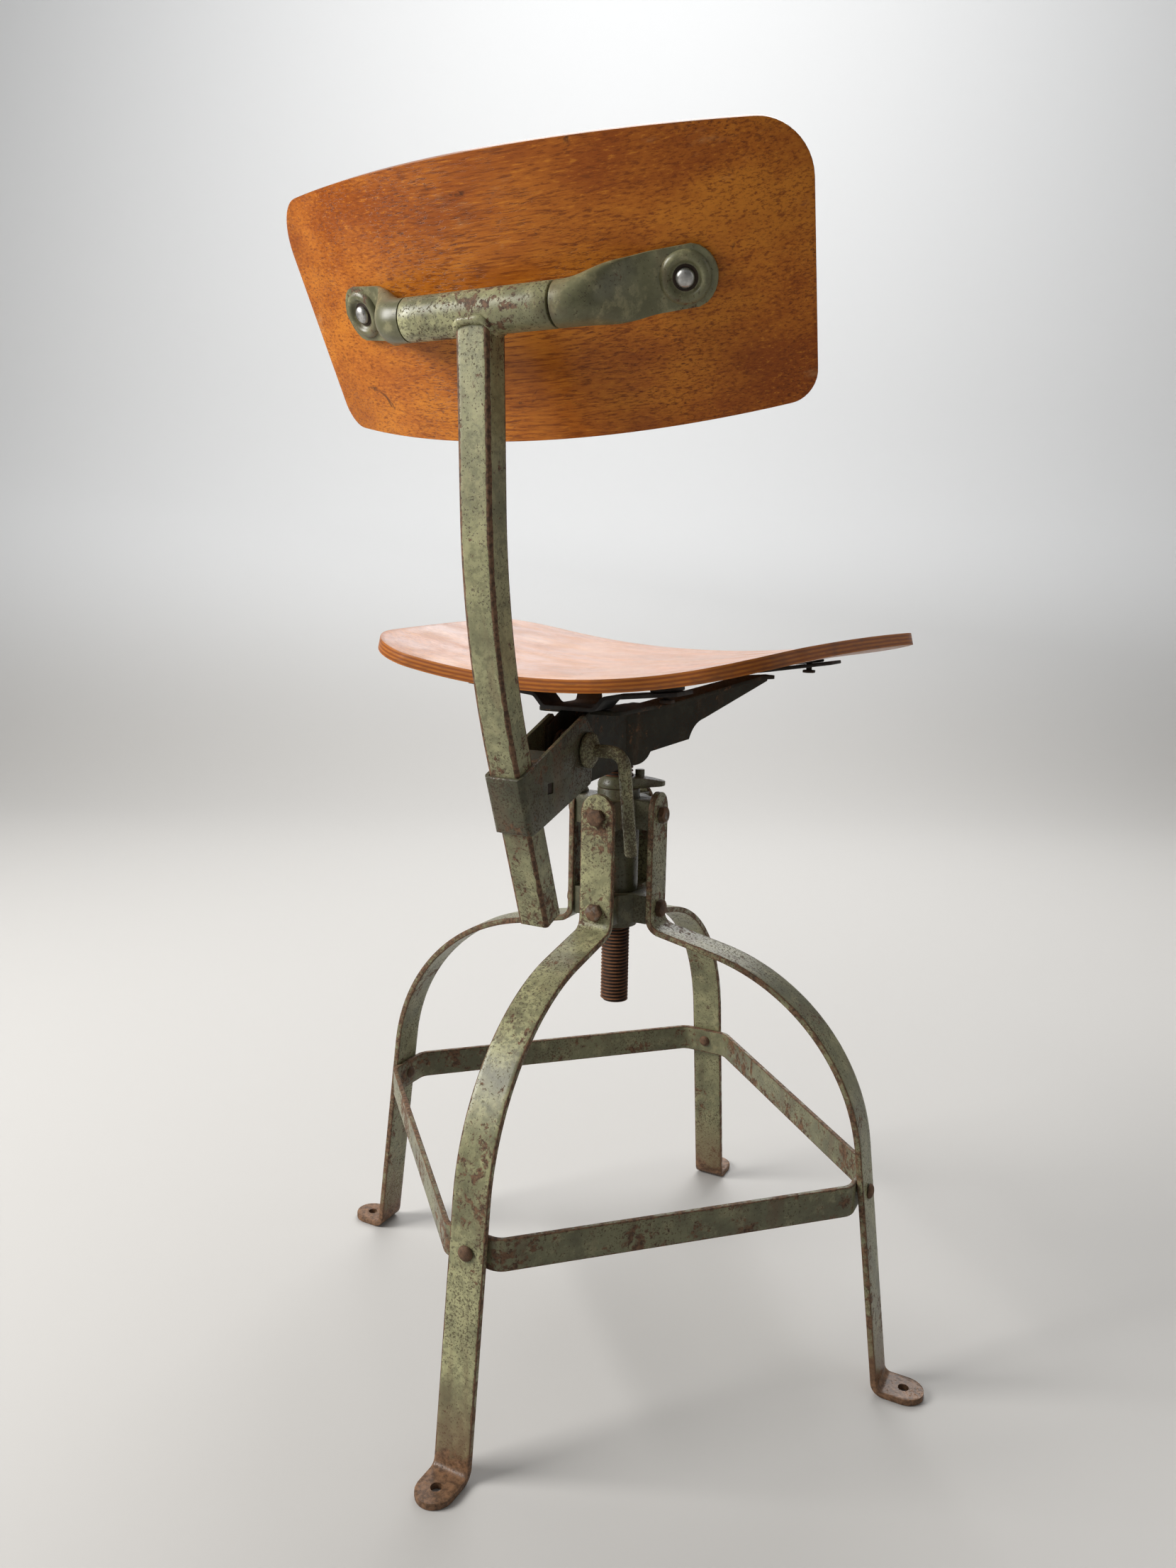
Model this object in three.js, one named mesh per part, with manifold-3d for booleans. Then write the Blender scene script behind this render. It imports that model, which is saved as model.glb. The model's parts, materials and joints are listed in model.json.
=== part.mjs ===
// Draughtsman's swivel chair: four flat-bar legs around a threaded hub, a footrest ring,
// a screw-raised plywood seat and a sprung plywood backrest on a bent rectangular post.
// Millimetres, +Z up. Origin on the floor under the seat spindle.
// The sitter faces -Y, so the backrest stands at +Y and the sitter's right hand is at -X.
import * as THREE from "three";
import { mergeVertices } from "three/addons/utils/BufferGeometryUtils.js";
import Module from "manifold-3d";

const wasm = await Module();
wasm.setup();

// ---------------------------------------------------------------- driving dimensions
const CONTACT = 0.3; // gap left between neighbouring cut pieces
const RUNNING = 0.06; // radial clearance of a shaft in its bore
const seatHeight = 576; // top of the plywood at the spindle axis, which all above the hub follows

// Legs
const footReach = 284; // spindle axis to the tip of a foot
const footHoleRadius = 268; // spindle axis to the fixing hole in a foot
const footHoleR = 4.3;
const footHeel = 247; // spindle axis to the heel, where the foot is folded
const legWidth = 30;
const legThick = 5;
const legFace = 39.5; // spindle axis to a leg's outer face beside the hub
const legTop = 470;
const shoulderHeight = 364.5; // where a leg starts to bend outwards
const shoulderRadius = 12;
const shoulderTurn = 78; // degrees
const kneeRadius = 164; // big outer curve of a leg
const legSplay = 7; // degrees off vertical below the big curve
const footBend = 8;
const legBoltLow = 371;
const legBoltSpacing = 80;

// Footrest ring
const ringHeight = 166; // height of its mid line
const ringBar = 25; // height of the bar
const ringThick = 4;
const ringFlat = 22; // half length of the flat behind each leg
const ringBend = 14;
const rivetR = 3;
const rivetHeadR = 6;
const rivetHeadHeight = 3.2;

// Hub and seat screw
const hubTubeR = 18;
const hubBottom = 352;
const hubTop = 471;
const collarHeight = 24;
const collarLug = 26; // width of a lug
const collarRingR = 26;
const screwR = 12;
const screwPitch = 3;
const screwBottom = 284;
const screwTop = seatHeight - 45;
const threadTop = 354;

// Leg bolts, M8
const boltR = 4;
const boltHeadAF = 13;
const boltHeadHeight = 5.3;
const boltTip = 21; // spindle axis to the bolt's inner end

// Lock nut on top of the hub
const nutThick = 9.7; // at the screw
const nutRim = 3.4;
const nutR = 18;
const nutBossR = 4;
const nutBossOut = 17.5; // spindle axis to the boss
const nutBossTurn = 163; // degrees from the lobe's +X side
const nutBossTop = 14.7; // above the nut's underside
const lobeReach = 41;
const lobeWidth = 22;
const lobeAngle = 45; // degrees the lobe is turned from the -X leg

// Seat
const seatFrontWidth = 418;
const seatRearWidth = 346;
const seatFront = -189;
const seatRear = 131;
const seatCorner = 55;
const seatThick = 10;
const seatHalfSpan = 190; // distance to which the seat's curves are given
const seatDish = 25.5; // rise of the surface at that distance to either side
const seatHollow = 2.6; // fall of the surface towards both front and rear edges
const seatPitch = 4.7; // rise of the front over the rear
const seatTwist = 5.8; // extra dish towards the rear

// Seat bracket
const sheet = 3; // folded sheet steel
const bracketBottom = seatHeight - 76;
const bracketTop = seatHeight - 33; // top face of the bracket's flange beside the pivot
const socketBottom = seatHeight - 84;
const socketR = 15;
const skirtRear = 80; // a plate's lower edge dips beside the socket, from here
const skirtRearZ = seatHeight - 89.5;
const skirtFront = 6; // to here
const skirtFrontZ = seatHeight - 84.5;
const bracketPlay = 0.25; // between a bracket plate and the clevis plate outside it
const bracketRear = 104;
const flangeWidth = 26;
const flangeRear = 78;
const wingAngle = 28; // degrees off the fore-and-aft line
const wingLength = 147;
const notchY = -44; // where the wing's lower edge turns up
const wingRise = 10; // rise of the wing's lower edge up to there
const strapWidth = 30;
const frontStrapZ = seatHeight - 13; // underside of the front strap in the middle
const rearStrapZ = bracketTop + CONTACT;
const padR = 13;
const seatScrewAF = 10;
const seatScrewHead = 2.5;
const seatScrewR = 2.5;
const springWire = 3.6;
const springR = 13;
const springTurns = 3;

// Sprung back
const pivotY = 89;
const pivotZ = seatHeight - 62;
const pivotR = 5;
const postWidth = 24.5;
const postDepth = 22;
const postWall = 2;
const clevisInner = postWidth / 2 + CONTACT; // middle of the chair to a clevis plate
const bracketHalf = clevisInner - bracketPlay - sheet / 2; // to the mid-plane of a bracket plate
const postLean = 20; // degrees, lower straight stretch
const postUpright = 2; // degrees, upper straight stretch
const postBottomY = 130; // middle of the post's lower end
const postBottomZ = seatHeight - 187;
const postLower = 141; // length of the lower straight
const postBendR = 540;
const sleeveR = 14;
const sleeveHalf = 55;
const sleeveZ = seatHeight + 230.5;
const axleR = 11;
const clevisWebLow = 81; // along the post from its lower end
const clevisWebHigh = 127;
const pegHole = 8; // side of the square hole in one clevis plate
const pegBack = 55; // pivot to the hole's middle, to the rear
const pegDrop = 22;
const crankR = 5;
const crankOut = 47; // middle of the chair to the crank's arm
const crankArm = 84;
const crankBend = 11;
const crankLean = 12; // degrees forward of straight down
const bossR = 14;
const bossThick = 5;
const clampNutAF = 17;
const clampNutThick = 8;

// Back panel
const panelY = 183; // middle of the panel's rear face
const panelZ = seatHeight + 235;
const panelTilt = 28; // degrees off vertical, top edge to the rear
const panelCurveR = 438;
const panelTopHalf = 208;
const panelBottomHalf = 196;
const panelHalfHeight = 79.5;
const panelTopCrown = 17.5;
const panelBottomCrown = 5;
const panelTopCorner = 33;
const panelBottomCorner = 17;
const panelThick = 9;
const panelBoltHalf = 122; // middle of the panel to a bolt, across
const panelBoltHeight = 8; // above the panel's mid line
const tabHalf = 18.5; // half height of a flattened bracket end
const tabReach = 20; // bolt to the rounded end of the flattened bracket
const tabThick = 4.4;
const armSteep = 50; // degrees at which a bracket drops to the panel
const armBend = 18;
const panelBoltR = 3.9;
const panelBoltHeadR = 7;
const panelBoltHeadHeight = 4.5;
const panelNutR = 9;

const rad = THREE.MathUtils.degToRad;

// ---------------------------------------------------------------- materials
const finish = (color, roughness, metalness) =>
  new THREE.MeshStandardMaterial({ color, roughness, metalness });
const paint = () => finish(0x7c8a74, 0.55, 0.25);
const wornPaint = () => finish(0x8b967f, 0.5, 0.35);
const darkPaint = () => finish(0x5d6655, 0.6, 0.25);
const rustySteel = () => finish(0x5a3b2a, 0.8, 0.4);
const brownSteel = () => finish(0x66564a, 0.55, 0.6);
const zinc = () => finish(0xb5b6b2, 0.3, 0.9);
const plywood = () => finish(0xa8682f, 0.4, 0);
const rubber = () => finish(0x1d1b19, 0.85, 0);

// ---------------------------------------------------------------- solids
// A closed geometry as a manifold solid.
function solid(geometry) {
  const bare = geometry.clone();
  bare.deleteAttribute("normal");
  bare.deleteAttribute("uv");
  const merged = mergeVertices(bare, 1e-4);
  return new wasm.Manifold(
    new wasm.Mesh({
      numProp: 3,
      vertProperties: new Float32Array(merged.attributes.position.array),
      triVerts: new Uint32Array(merged.index.array),
    }),
  );
}

// A manifold solid as a three.js geometry.
function geometryOf(body) {
  const mesh = body.getMesh();
  const xyz = new Float32Array(mesh.numVert * 3);
  for (let i = 0; i < mesh.numVert; i += 1)
    xyz.set(mesh.vertProperties.subarray(i * mesh.numProp, i * mesh.numProp + 3), i * 3);
  const geometry = new THREE.BufferGeometry();
  geometry.setAttribute("position", new THREE.BufferAttribute(xyz, 3));
  geometry.setIndex(new THREE.BufferAttribute(new Uint32Array(mesh.triVerts), 1));
  geometry.computeVertexNormals();
  return geometry;
}

const model = new THREE.Group();
model.name = "draughtsman_chair";

// Adds one named piece to a group.
function piece(parent, name, body, material) {
  const geometry = body.isBufferGeometry ? body : geometryOf(body);
  const mesh = new THREE.Mesh(geometry, material);
  mesh.name = name;
  parent.add(mesh);
  return mesh;
}

const axisX = new THREE.Vector3(1, 0, 0);
const axisY = new THREE.Vector3(0, 1, 0);
const axisZ = new THREE.Vector3(0, 0, 1);

// A cylinder of the given radius between two points on a line along `axis`.
function rod(radius, axis, from, to, at = new THREE.Vector3(), sides = 24) {
  const geometry = new THREE.CylinderGeometry(radius, radius, to - from, sides);
  geometry.rotateX(Math.PI / 2); // along +Z
  geometry.translate(0, 0, (from + to) / 2);
  geometry.applyQuaternion(new THREE.Quaternion().setFromUnitVectors(axisZ, axis));
  geometry.translate(at.x, at.y, at.z);
  return solid(geometry);
}

// A bore whose flats stay `radius` away from its axis.
const bore = (radius, axis, from, to, at, sides = 24) =>
  rod(radius / Math.cos(Math.PI / sides), axis, from, to, at, sides);

function box(x0, x1, y0, y1, z0, z1) {
  const geometry = new THREE.BoxGeometry(x1 - x0, y1 - y0, z1 - z0);
  geometry.translate((x0 + x1) / 2, (y0 + y1) / 2, (z0 + z1) / 2);
  return solid(geometry);
}

// An outline (a list of Vector2, or a Shape) pushed from a to b along the third direction.
// plane "xy" pushes along Z, "yz" along X, "xz" along Y.
function prism(outline, plane, a, b) {
  const shape = outline instanceof THREE.Shape ? outline : new THREE.Shape(outline);
  const geometry = new THREE.ExtrudeGeometry(shape, {
    depth: b - a,
    bevelEnabled: false,
    curveSegments: 12,
  });
  const basis = new THREE.Matrix4();
  if (plane === "yz") basis.makeBasis(axisY, axisZ, axisX).setPosition(a, 0, 0);
  else if (plane === "xz")
    basis.makeBasis(axisX, axisZ, axisY.clone().negate()).setPosition(0, b, 0);
  else basis.setPosition(0, 0, a);
  geometry.applyMatrix4(basis);
  return solid(geometry);
}

// Points along a flat route: { go: length } or { turn: degrees, r: radius }, left positive.
function route(x, y, heading, moves) {
  const points = [new THREE.Vector2(x, y)];
  let angle = rad(heading);
  for (const move of moves) {
    const last = points[points.length - 1];
    if (move.go !== undefined) {
      const step = new THREE.Vector2(Math.cos(angle), Math.sin(angle));
      points.push(last.clone().addScaledVector(step, move.go));
      continue;
    }
    const sweep = rad(move.turn);
    const side = Math.sign(sweep);
    const left = angle + (side * Math.PI) / 2;
    const centre = last.clone().add(
      new THREE.Vector2(Math.cos(left), Math.sin(left)).multiplyScalar(move.r),
    );
    const steps = Math.max(2, Math.ceil(Math.abs(move.turn) / (move.fine ?? 9)));
    for (let i = 1; i <= steps; i += 1) {
      const a = left + Math.PI + (sweep * i) / steps;
      const spoke = new THREE.Vector2(Math.cos(a), Math.sin(a)).multiplyScalar(move.r);
      points.push(centre.clone().add(spoke));
    }
    angle += sweep;
  }
  return points;
}

// The outline of a strip of the given thickness centred on a route.
function strip(points, thickness) {
  const left = [];
  const right = [];
  points.forEach((p, i) => {
    const before = points[Math.max(i - 1, 0)];
    const after = points[Math.min(i + 1, points.length - 1)];
    const din = p.clone().sub(before);
    const dout = after.clone().sub(p);
    if (i === 0) din.copy(dout);
    if (i === points.length - 1) dout.copy(din);
    din.normalize();
    dout.normalize();
    const along = din.clone().add(dout).normalize();
    const half = thickness / 2 / Math.max(along.dot(din), 0.3);
    const normal = new THREE.Vector2(-along.y, along.x);
    left.push(p.clone().addScaledVector(normal, half));
    right.push(p.clone().addScaledVector(normal, -half));
  });
  return left.concat(right.reverse());
}

// A polygon with each corner rounded; corners are [x, y, radius].
function rounded(corners, steps = 6) {
  const points = [];
  const count = corners.length;
  corners.forEach(([x, y, r], i) => {
    const here = new THREE.Vector2(x, y);
    const previous = new THREE.Vector2(...corners[(i + count - 1) % count].slice(0, 2));
    const next = new THREE.Vector2(...corners[(i + 1) % count].slice(0, 2));
    if (!r) {
      points.push(here);
      return;
    }
    const toPrevious = previous.sub(here).normalize();
    const toNext = next.sub(here).normalize();
    const half = Math.acos(toPrevious.dot(toNext)) / 2;
    const start = here.clone().addScaledVector(toPrevious, r / Math.tan(half));
    const end = here.clone().addScaledVector(toNext, r / Math.tan(half));
    const inward = toPrevious.clone().add(toNext).normalize();
    const centre = here.clone().addScaledVector(inward, r / Math.sin(half));
    const a0 = start.clone().sub(centre).angle();
    let sweep = end.clone().sub(centre).angle() - a0;
    if (sweep > Math.PI) sweep -= 2 * Math.PI;
    if (sweep < -Math.PI) sweep += 2 * Math.PI;
    for (let k = 0; k <= steps; k += 1) {
      const a = a0 + (sweep * k) / steps;
      points.push(new THREE.Vector2(Math.cos(a), Math.sin(a)).multiplyScalar(r).add(centre));
    }
  });
  return points;
}

// A closed body over rings of points, with its faces turned outwards.
function skinOf(rings, faces) {
  const xyz = rings.flat().flatMap((p) => [p.x, p.y, p.z]);
  const geometry = new THREE.BufferGeometry();
  geometry.setAttribute("position", new THREE.Float32BufferAttribute(xyz, 3));
  geometry.setIndex(faces);
  const made = solid(geometry);
  if (made.volume() > 0) return made;
  for (let i = 0; i < faces.length; i += 3) [faces[i], faces[i + 1]] = [faces[i + 1], faces[i]];
  geometry.setIndex(faces);
  return solid(geometry);
}

// A closed skin through rings of points; each ring holds the same number of Vector3.
function loft(rings) {
  const count = rings[0].length;
  const faces = [];
  for (let i = 0; i + 1 < rings.length; i += 1)
    for (let j = 0; j < count; j += 1) {
      const a = i * count + j;
      const b = i * count + ((j + 1) % count);
      faces.push(a, b, a + count, b, b + count, a + count);
    }
  const last = (rings.length - 1) * count;
  for (let j = 1; j + 1 < count; j += 1) {
    faces.push(0, j + 1, j);
    faces.push(last, last + j, last + j + 1);
  }
  return skinOf(rings, faces);
}

// A moulded sheet: rows x columns of points above, and the same below.
function mouldedSheet(rows, columns, above, below) {
  const rings = [];
  for (let i = 0; i <= rows; i += 1) {
    const ring = [];
    for (let j = 0; j <= columns; j += 1) ring.push(above(i, j));
    for (let j = columns; j >= 0; j -= 1) ring.push(below(i, j));
    rings.push(ring);
  }
  const count = rings[0].length;
  const faces = [];
  const quad = (a, b, c, d) => faces.push(a, b, c, a, c, d);
  for (let i = 0; i < rows; i += 1)
    for (let j = 0; j < count; j += 1) {
      const k = (j + 1) % count;
      quad(i * count + j, i * count + k, (i + 1) * count + k, (i + 1) * count + j);
    }
  const last = rows * count;
  for (let j = 0; j < columns; j += 1) {
    const under = count - 1 - j;
    quad(under, under - 1, j + 1, j);
    quad(last + j, last + j + 1, last + under - 1, last + under);
  }
  return skinOf(rings, faces);
}

// A six-sided prism across flats `af`, with its axis along +Z.
function hexPrism(af, from, to) {
  const geometry = new THREE.CylinderGeometry(af / Math.sqrt(3), af / Math.sqrt(3), to - from, 6);
  geometry.rotateX(Math.PI / 2);
  geometry.translate(0, 0, (from + to) / 2);
  return solid(geometry);
}

// ---------------------------------------------------------------- base
const sides = [
  { name: "right", angle: 180 },
  { name: "front", angle: 270 },
  { name: "left", angle: 0 },
  { name: "rear", angle: 90 },
];
const legBoltHeights = [legBoltLow, legBoltLow + legBoltSpacing];
const legInner = legFace - legThick;
const lugFace = legInner - CONTACT;
const legHoleR = boltR + 0.5;

// A leg's mid line, in the plane of the spindle axis: x outwards, y up.
function legRoute() {
  const start = legFace - legThick / 2;
  const overShoulder = [
    { go: legTop - shoulderHeight },
    { turn: shoulderTurn, r: shoulderRadius, fine: 13 },
  ];
  const shoulder = route(start, legTop, -90, overShoulder).at(-1);
  const down = rad(90 - shoulderTurn);
  const splay = rad(90 - legSplay);
  // Straight stretch that brings the leg over its foot, with the big curve after it.
  const curveX = kneeRadius * (Math.sin(splay) - Math.sin(down));
  const curveZ = kneeRadius * (Math.cos(down) - Math.cos(splay));
  const dropToFoot = shoulder.y - legThick / 2 - curveZ - footBend * (1 - Math.cos(splay));
  const reach = footHeel - shoulder.x - curveX;
  const tan = Math.tan(rad(legSplay));
  const straight = (reach - dropToFoot * tan) / (Math.cos(down) - Math.sin(down) * tan);
  const below = (dropToFoot - straight * Math.sin(down)) / Math.cos(rad(legSplay));
  const tab = footReach - footHeel - footBend * Math.sin(splay);
  return route(start, legTop, -90, [
    ...overShoulder,
    { go: straight },
    { turn: -(shoulderTurn - legSplay), r: kneeRadius, fine: 6 },
    { go: below },
    { turn: 90 - legSplay, r: footBend, fine: 17 },
    { go: tab },
  ]);
}

// How far out a leg's mid line stands at a height below its big curve.
function legOut(height) {
  const points = legRoute();
  for (let i = points.length - 1; i > 0; i -= 1) {
    const a = points[i];
    const b = points[i - 1];
    if (a.y <= height && height <= b.y)
      return a.x + ((b.x - a.x) * (height - a.y)) / (b.y - a.y);
  }
  return legFace;
}

function makeLeg() {
  const half = legWidth / 2;
  const bar = prism(strip(legRoute(), legThick), "xz", -half, half);
  const plan = new THREE.Shape();
  plan.moveTo(0, -half - 1);
  plan.lineTo(footReach - half, -half);
  plan.absarc(footReach - half, 0, half, -Math.PI / 2, Math.PI / 2);
  plan.lineTo(0, half + 1);
  const front = new THREE.Shape();
  front.moveTo(-half - 1, -1);
  front.lineTo(half + 1, -1);
  front.lineTo(half, legTop - half);
  front.absarc(0, legTop - half, half, 0, Math.PI);
  let leg = bar
    .intersect(prism(plan, "xy", -1, legTop + 1))
    .intersect(prism(front, "yz", 0, footReach + 1));
  for (const height of legBoltHeights)
    leg = leg.subtract(
      rod(legHoleR, axisX, legInner - 1, legFace + 1, new THREE.Vector3(0, 0, height), 16),
    );
  const rivetHole = new THREE.Vector3(0, 0, ringHeight);
  leg = leg.subtract(rod(rivetR + 0.3, axisX, 200, footReach, rivetHole, 12));
  const foot = new THREE.Vector3(footHoleRadius, 0, 0);
  return leg.subtract(rod(footHoleR, axisZ, -1, legThick + 1, foot, 16));
}

// The ring's outer face stands clear of the legs, which lean inwards above it.
const ringOuter =
  legOut(ringHeight + ringBar / 2) - legThick / 2 / Math.cos(rad(legSplay)) - CONTACT;
const ringMid = ringOuter - ringThick / 2;

function makeRing() {
  const lower = ringHeight - ringBar / 2;
  const outline = (offset) => {
    const flat = ringFlat + offset * Math.tan(rad(22.5));
    const out = ringMid + offset;
    const corners = [];
    for (let i = 0; i < 4; i += 1)
      for (const side of [-1, 1]) {
        const p = new THREE.Vector2(out, side * flat).rotateAround(
          new THREE.Vector2(),
          (i * Math.PI) / 2,
        );
        corners.push([p.x, p.y, ringBend + offset]);
      }
    return rounded(corners, 4);
  };
  const outer = prism(outline(ringThick / 2), "xy", lower, lower + ringBar);
  const inner = prism(outline(-ringThick / 2), "xy", lower - 1, lower + ringBar + 1);
  let ring = outer.subtract(inner);
  for (const { angle } of sides) {
    const out = new THREE.Vector3(Math.cos(rad(angle)), Math.sin(rad(angle)), 0).round();
    const at = new THREE.Vector3(0, 0, ringHeight);
    ring = ring.subtract(rod(rivetR + 0.3, out, ringMid - 20, ringMid + 20, at, 12));
  }
  return ring;
}

// A domed head on the +Z side of z = base.
function dome(radius, height, base, seg = 12) {
  const profile = [new THREE.Vector2(0, base), new THREE.Vector2(radius, base)];
  const steps = 3;
  for (let i = 1; i <= steps; i += 1) {
    const a = (i / steps) * (Math.PI / 2);
    profile.push(new THREE.Vector2(radius * Math.cos(a), base + height * Math.sin(a)));
  }
  profile[profile.length - 1].x = 0;
  const geometry = new THREE.LatheGeometry(profile, seg);
  geometry.rotateX(Math.PI / 2);
  return solid(geometry);
}

// Rivet along +Z: domed heads outside the leg and inside the ring.
function makeRivet() {
  const outside =
    legOut(ringHeight - rivetHeadR) + legThick / 2 / Math.cos(rad(legSplay)) + CONTACT / 3;
  const inside = ringMid - ringThick / 2 - CONTACT / 3;
  const inner = dome(rivetHeadR - 0.5, rivetHeadHeight, -inside).rotate([180, 0, 0]);
  return rod(rivetR, axisZ, inside - 1, outside + 1, new THREE.Vector3(), 12)
    .add(dome(rivetHeadR, rivetHeadHeight, outside))
    .add(inner);
}

function makeCollar(middle) {
  const lower = middle - collarHeight / 2;
  const upper = middle + collarHeight / 2;
  let collar = rod(collarRingR, axisZ, lower, upper, new THREE.Vector3(), 24);
  const half = collarLug / 2;
  collar = collar.add(box(-lugFace, lugFace, -half, half, lower, upper));
  collar = collar.add(box(-half, half, -lugFace, lugFace, lower, upper));
  collar = collar.subtract(bore(hubTubeR + 0.1, axisZ, lower - 1, upper + 1, undefined, 24));
  for (const axis of [axisX, axisY])
    collar = collar.subtract(
      rod(boltR + 0.15, axis, -lugFace - 1, lugFace + 1, new THREE.Vector3(0, 0, middle), 16),
    );
  return collar;
}

function makeHubTube() {
  const tube = rod(hubTubeR, axisZ, hubBottom, hubTop, new THREE.Vector3(), 24);
  return tube.subtract(bore(screwR + RUNNING, axisZ, hubBottom - 1, hubTop + 1, undefined, 24));
}

// Hexagon bolt along +Z with its head outside the leg.
function makeLegBolt() {
  const seat = legFace + 0.1;
  return hexPrism(boltHeadAF, seat, seat + boltHeadHeight).add(
    rod(boltR, axisZ, boltTip, seat + 1, new THREE.Vector3(), 16),
  );
}

const base = new THREE.Group();
model.add(base);
piece(base, "hub_tube", makeHubTube(), paint());
piece(base, "lower_collar", makeCollar(legBoltHeights[0]), paint());
piece(base, "upper_collar", makeCollar(legBoltHeights[1]), paint());
piece(base, "footrest_ring", makeRing(), paint());
const legBody = geometryOf(makeLeg());
const rivetBody = geometryOf(makeRivet());
const legBoltBody = geometryOf(makeLegBolt());
for (const { name, angle } of sides) {
  const quarter = new THREE.Group();
  quarter.rotation.z = rad(angle);
  base.add(quarter);
  piece(quarter, `leg_${name}`, legBody, wornPaint());
  const rivet = piece(quarter, `ring_rivet_${name}`, rivetBody, brownSteel());
  rivet.rotation.y = Math.PI / 2;
  rivet.position.z = ringHeight;
  ["lower", "upper"].forEach((level, i) => {
    const bolt = piece(quarter, `leg_bolt_${name}_${level}`, legBoltBody, brownSteel());
    bolt.rotation.y = Math.PI / 2;
    bolt.position.z = legBoltHeights[i];
  });
}

// ---------------------------------------------------------------- lock nut and screw
// A coned disc and a lobe that thins outwards, with a boss beside the screw.
function makeLockNut() {
  const low = hubTop + CONTACT;
  const cone = (rim) => {
    const profile = [
      new THREE.Vector2(0, low),
      new THREE.Vector2(rim, low),
      new THREE.Vector2(rim, low + nutRim),
      new THREE.Vector2(screwR + 2.5, low + nutThick),
      new THREE.Vector2(0, low + nutThick),
    ];
    const geometry = new THREE.LatheGeometry(profile, 32);
    geometry.rotateX(Math.PI / 2);
    return solid(geometry);
  };
  const lobe = new THREE.Shape();
  const round = lobeWidth / 2;
  lobe.moveTo(0, -nutR + 1);
  lobe.lineTo(-lobeReach + round, -round);
  lobe.absarc(-lobeReach + round, 0, round, -Math.PI / 2, Math.PI / 2, true);
  lobe.lineTo(0, nutR - 1);
  const boss = new THREE.Vector3(nutBossOut, 0, 0).applyAxisAngle(axisZ, rad(nutBossTurn));
  return cone(nutR)
    .add(cone(lobeReach + 1).intersect(prism(lobe, "xy", low, low + nutThick)))
    .add(rod(nutBossR, axisZ, low + 2, low + nutBossTop, boss, 12))
    .subtract(bore(screwR + RUNNING, axisZ, low - 1, low + nutBossTop + 1, undefined, 24));
}

// The screw's thread is a row of grooves at its pitch, over the stretch that shows.
function makeScrew() {
  const chamfer = 2;
  const root = screwR - 1.4;
  const profile = [new THREE.Vector2(0, screwBottom), new THREE.Vector2(root, screwBottom)];
  for (let z = screwBottom + chamfer; z + screwPitch < threadTop; z += screwPitch) {
    profile.push(new THREE.Vector2(screwR, z));
    profile.push(new THREE.Vector2(root, z + screwPitch * 0.5));
  }
  profile.push(new THREE.Vector2(screwR, threadTop));
  profile.push(new THREE.Vector2(screwR, screwTop));
  profile.push(new THREE.Vector2(0, screwTop));
  const geometry = new THREE.LatheGeometry(profile, 16);
  geometry.rotateX(Math.PI / 2);
  return solid(geometry);
}

piece(model, "lock_nut", makeLockNut().rotate([0, 0, lobeAngle]), darkPaint());
piece(model, "seat_spindle", makeScrew(), rustySteel());

// ---------------------------------------------------------------- seat
const seat = new THREE.Group();
model.add(seat);

// Height of the plywood's top face.
function seatTop(x, y) {
  const across = (x / seatHalfSpan) ** 2;
  const along = (y - (seatFront + seatRear) / 2) / seatHalfSpan;
  const fall = seatHollow * along ** 2 + seatPitch * along;
  return seatHeight + seatDish * across - fall + seatTwist * across * along;
}

// Rows across a rounded four-sided sheet: its y and its half width there.
function sheetRows(y0, y1, half0, half1, corner0, corner1, middles) {
  const rows = [];
  const steps = 4;
  const halfAt = (y) => half0 + ((half1 - half0) * (y - y0)) / (y1 - y0);
  for (let i = 0; i <= steps; i += 1) {
    const a = ((i / steps) * Math.PI) / 2;
    const y = y0 + corner0 * (1 - Math.cos(a));
    rows.push({ y, half: halfAt(y) - corner0 * (1 - Math.sin(a)) });
  }
  const from = y0 + corner0;
  const to = y1 - corner1;
  for (let i = 1; i < middles; i += 1) {
    const y = from + ((to - from) * i) / middles;
    rows.push({ y, half: halfAt(y) });
  }
  for (let i = steps; i >= 0; i -= 1) {
    const a = ((i / steps) * Math.PI) / 2;
    const y = y1 - corner1 * (1 - Math.cos(a));
    rows.push({ y, half: halfAt(y) - corner1 * (1 - Math.sin(a)) });
  }
  return rows;
}

const seatColumns = 12;
const screwSpots = [
  { name: "rear_left", x: 76, y: 77 },
  { name: "rear_right", x: -76, y: 77 },
  { name: "front_left", x: 116, y: -143 },
  { name: "front_right", x: -116, y: -143 },
];

function makeSeatPanel() {
  const rows = sheetRows(
    seatFront, seatRear, seatFrontWidth / 2, seatRearWidth / 2, seatCorner, seatCorner, 6,
  );
  const at = (i, j, drop) => {
    const x = rows[i].half * ((2 * j) / seatColumns - 1);
    return new THREE.Vector3(x, rows[i].y, seatTop(x, rows[i].y) - drop);
  };
  let panel = mouldedSheet(
    rows.length - 1, seatColumns, (i, j) => at(i, j, 0), (i, j) => at(i, j, seatThick),
  );
  for (const { x, y } of screwSpots) {
    const top = seatTop(x, y) - 3;
    const pilot = new THREE.Vector3(x, y, 0);
    panel = panel.subtract(rod(seatScrewR + 0.1, axisZ, top - seatThick * 2, top, pilot, 10));
  }
  return panel;
}

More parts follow.
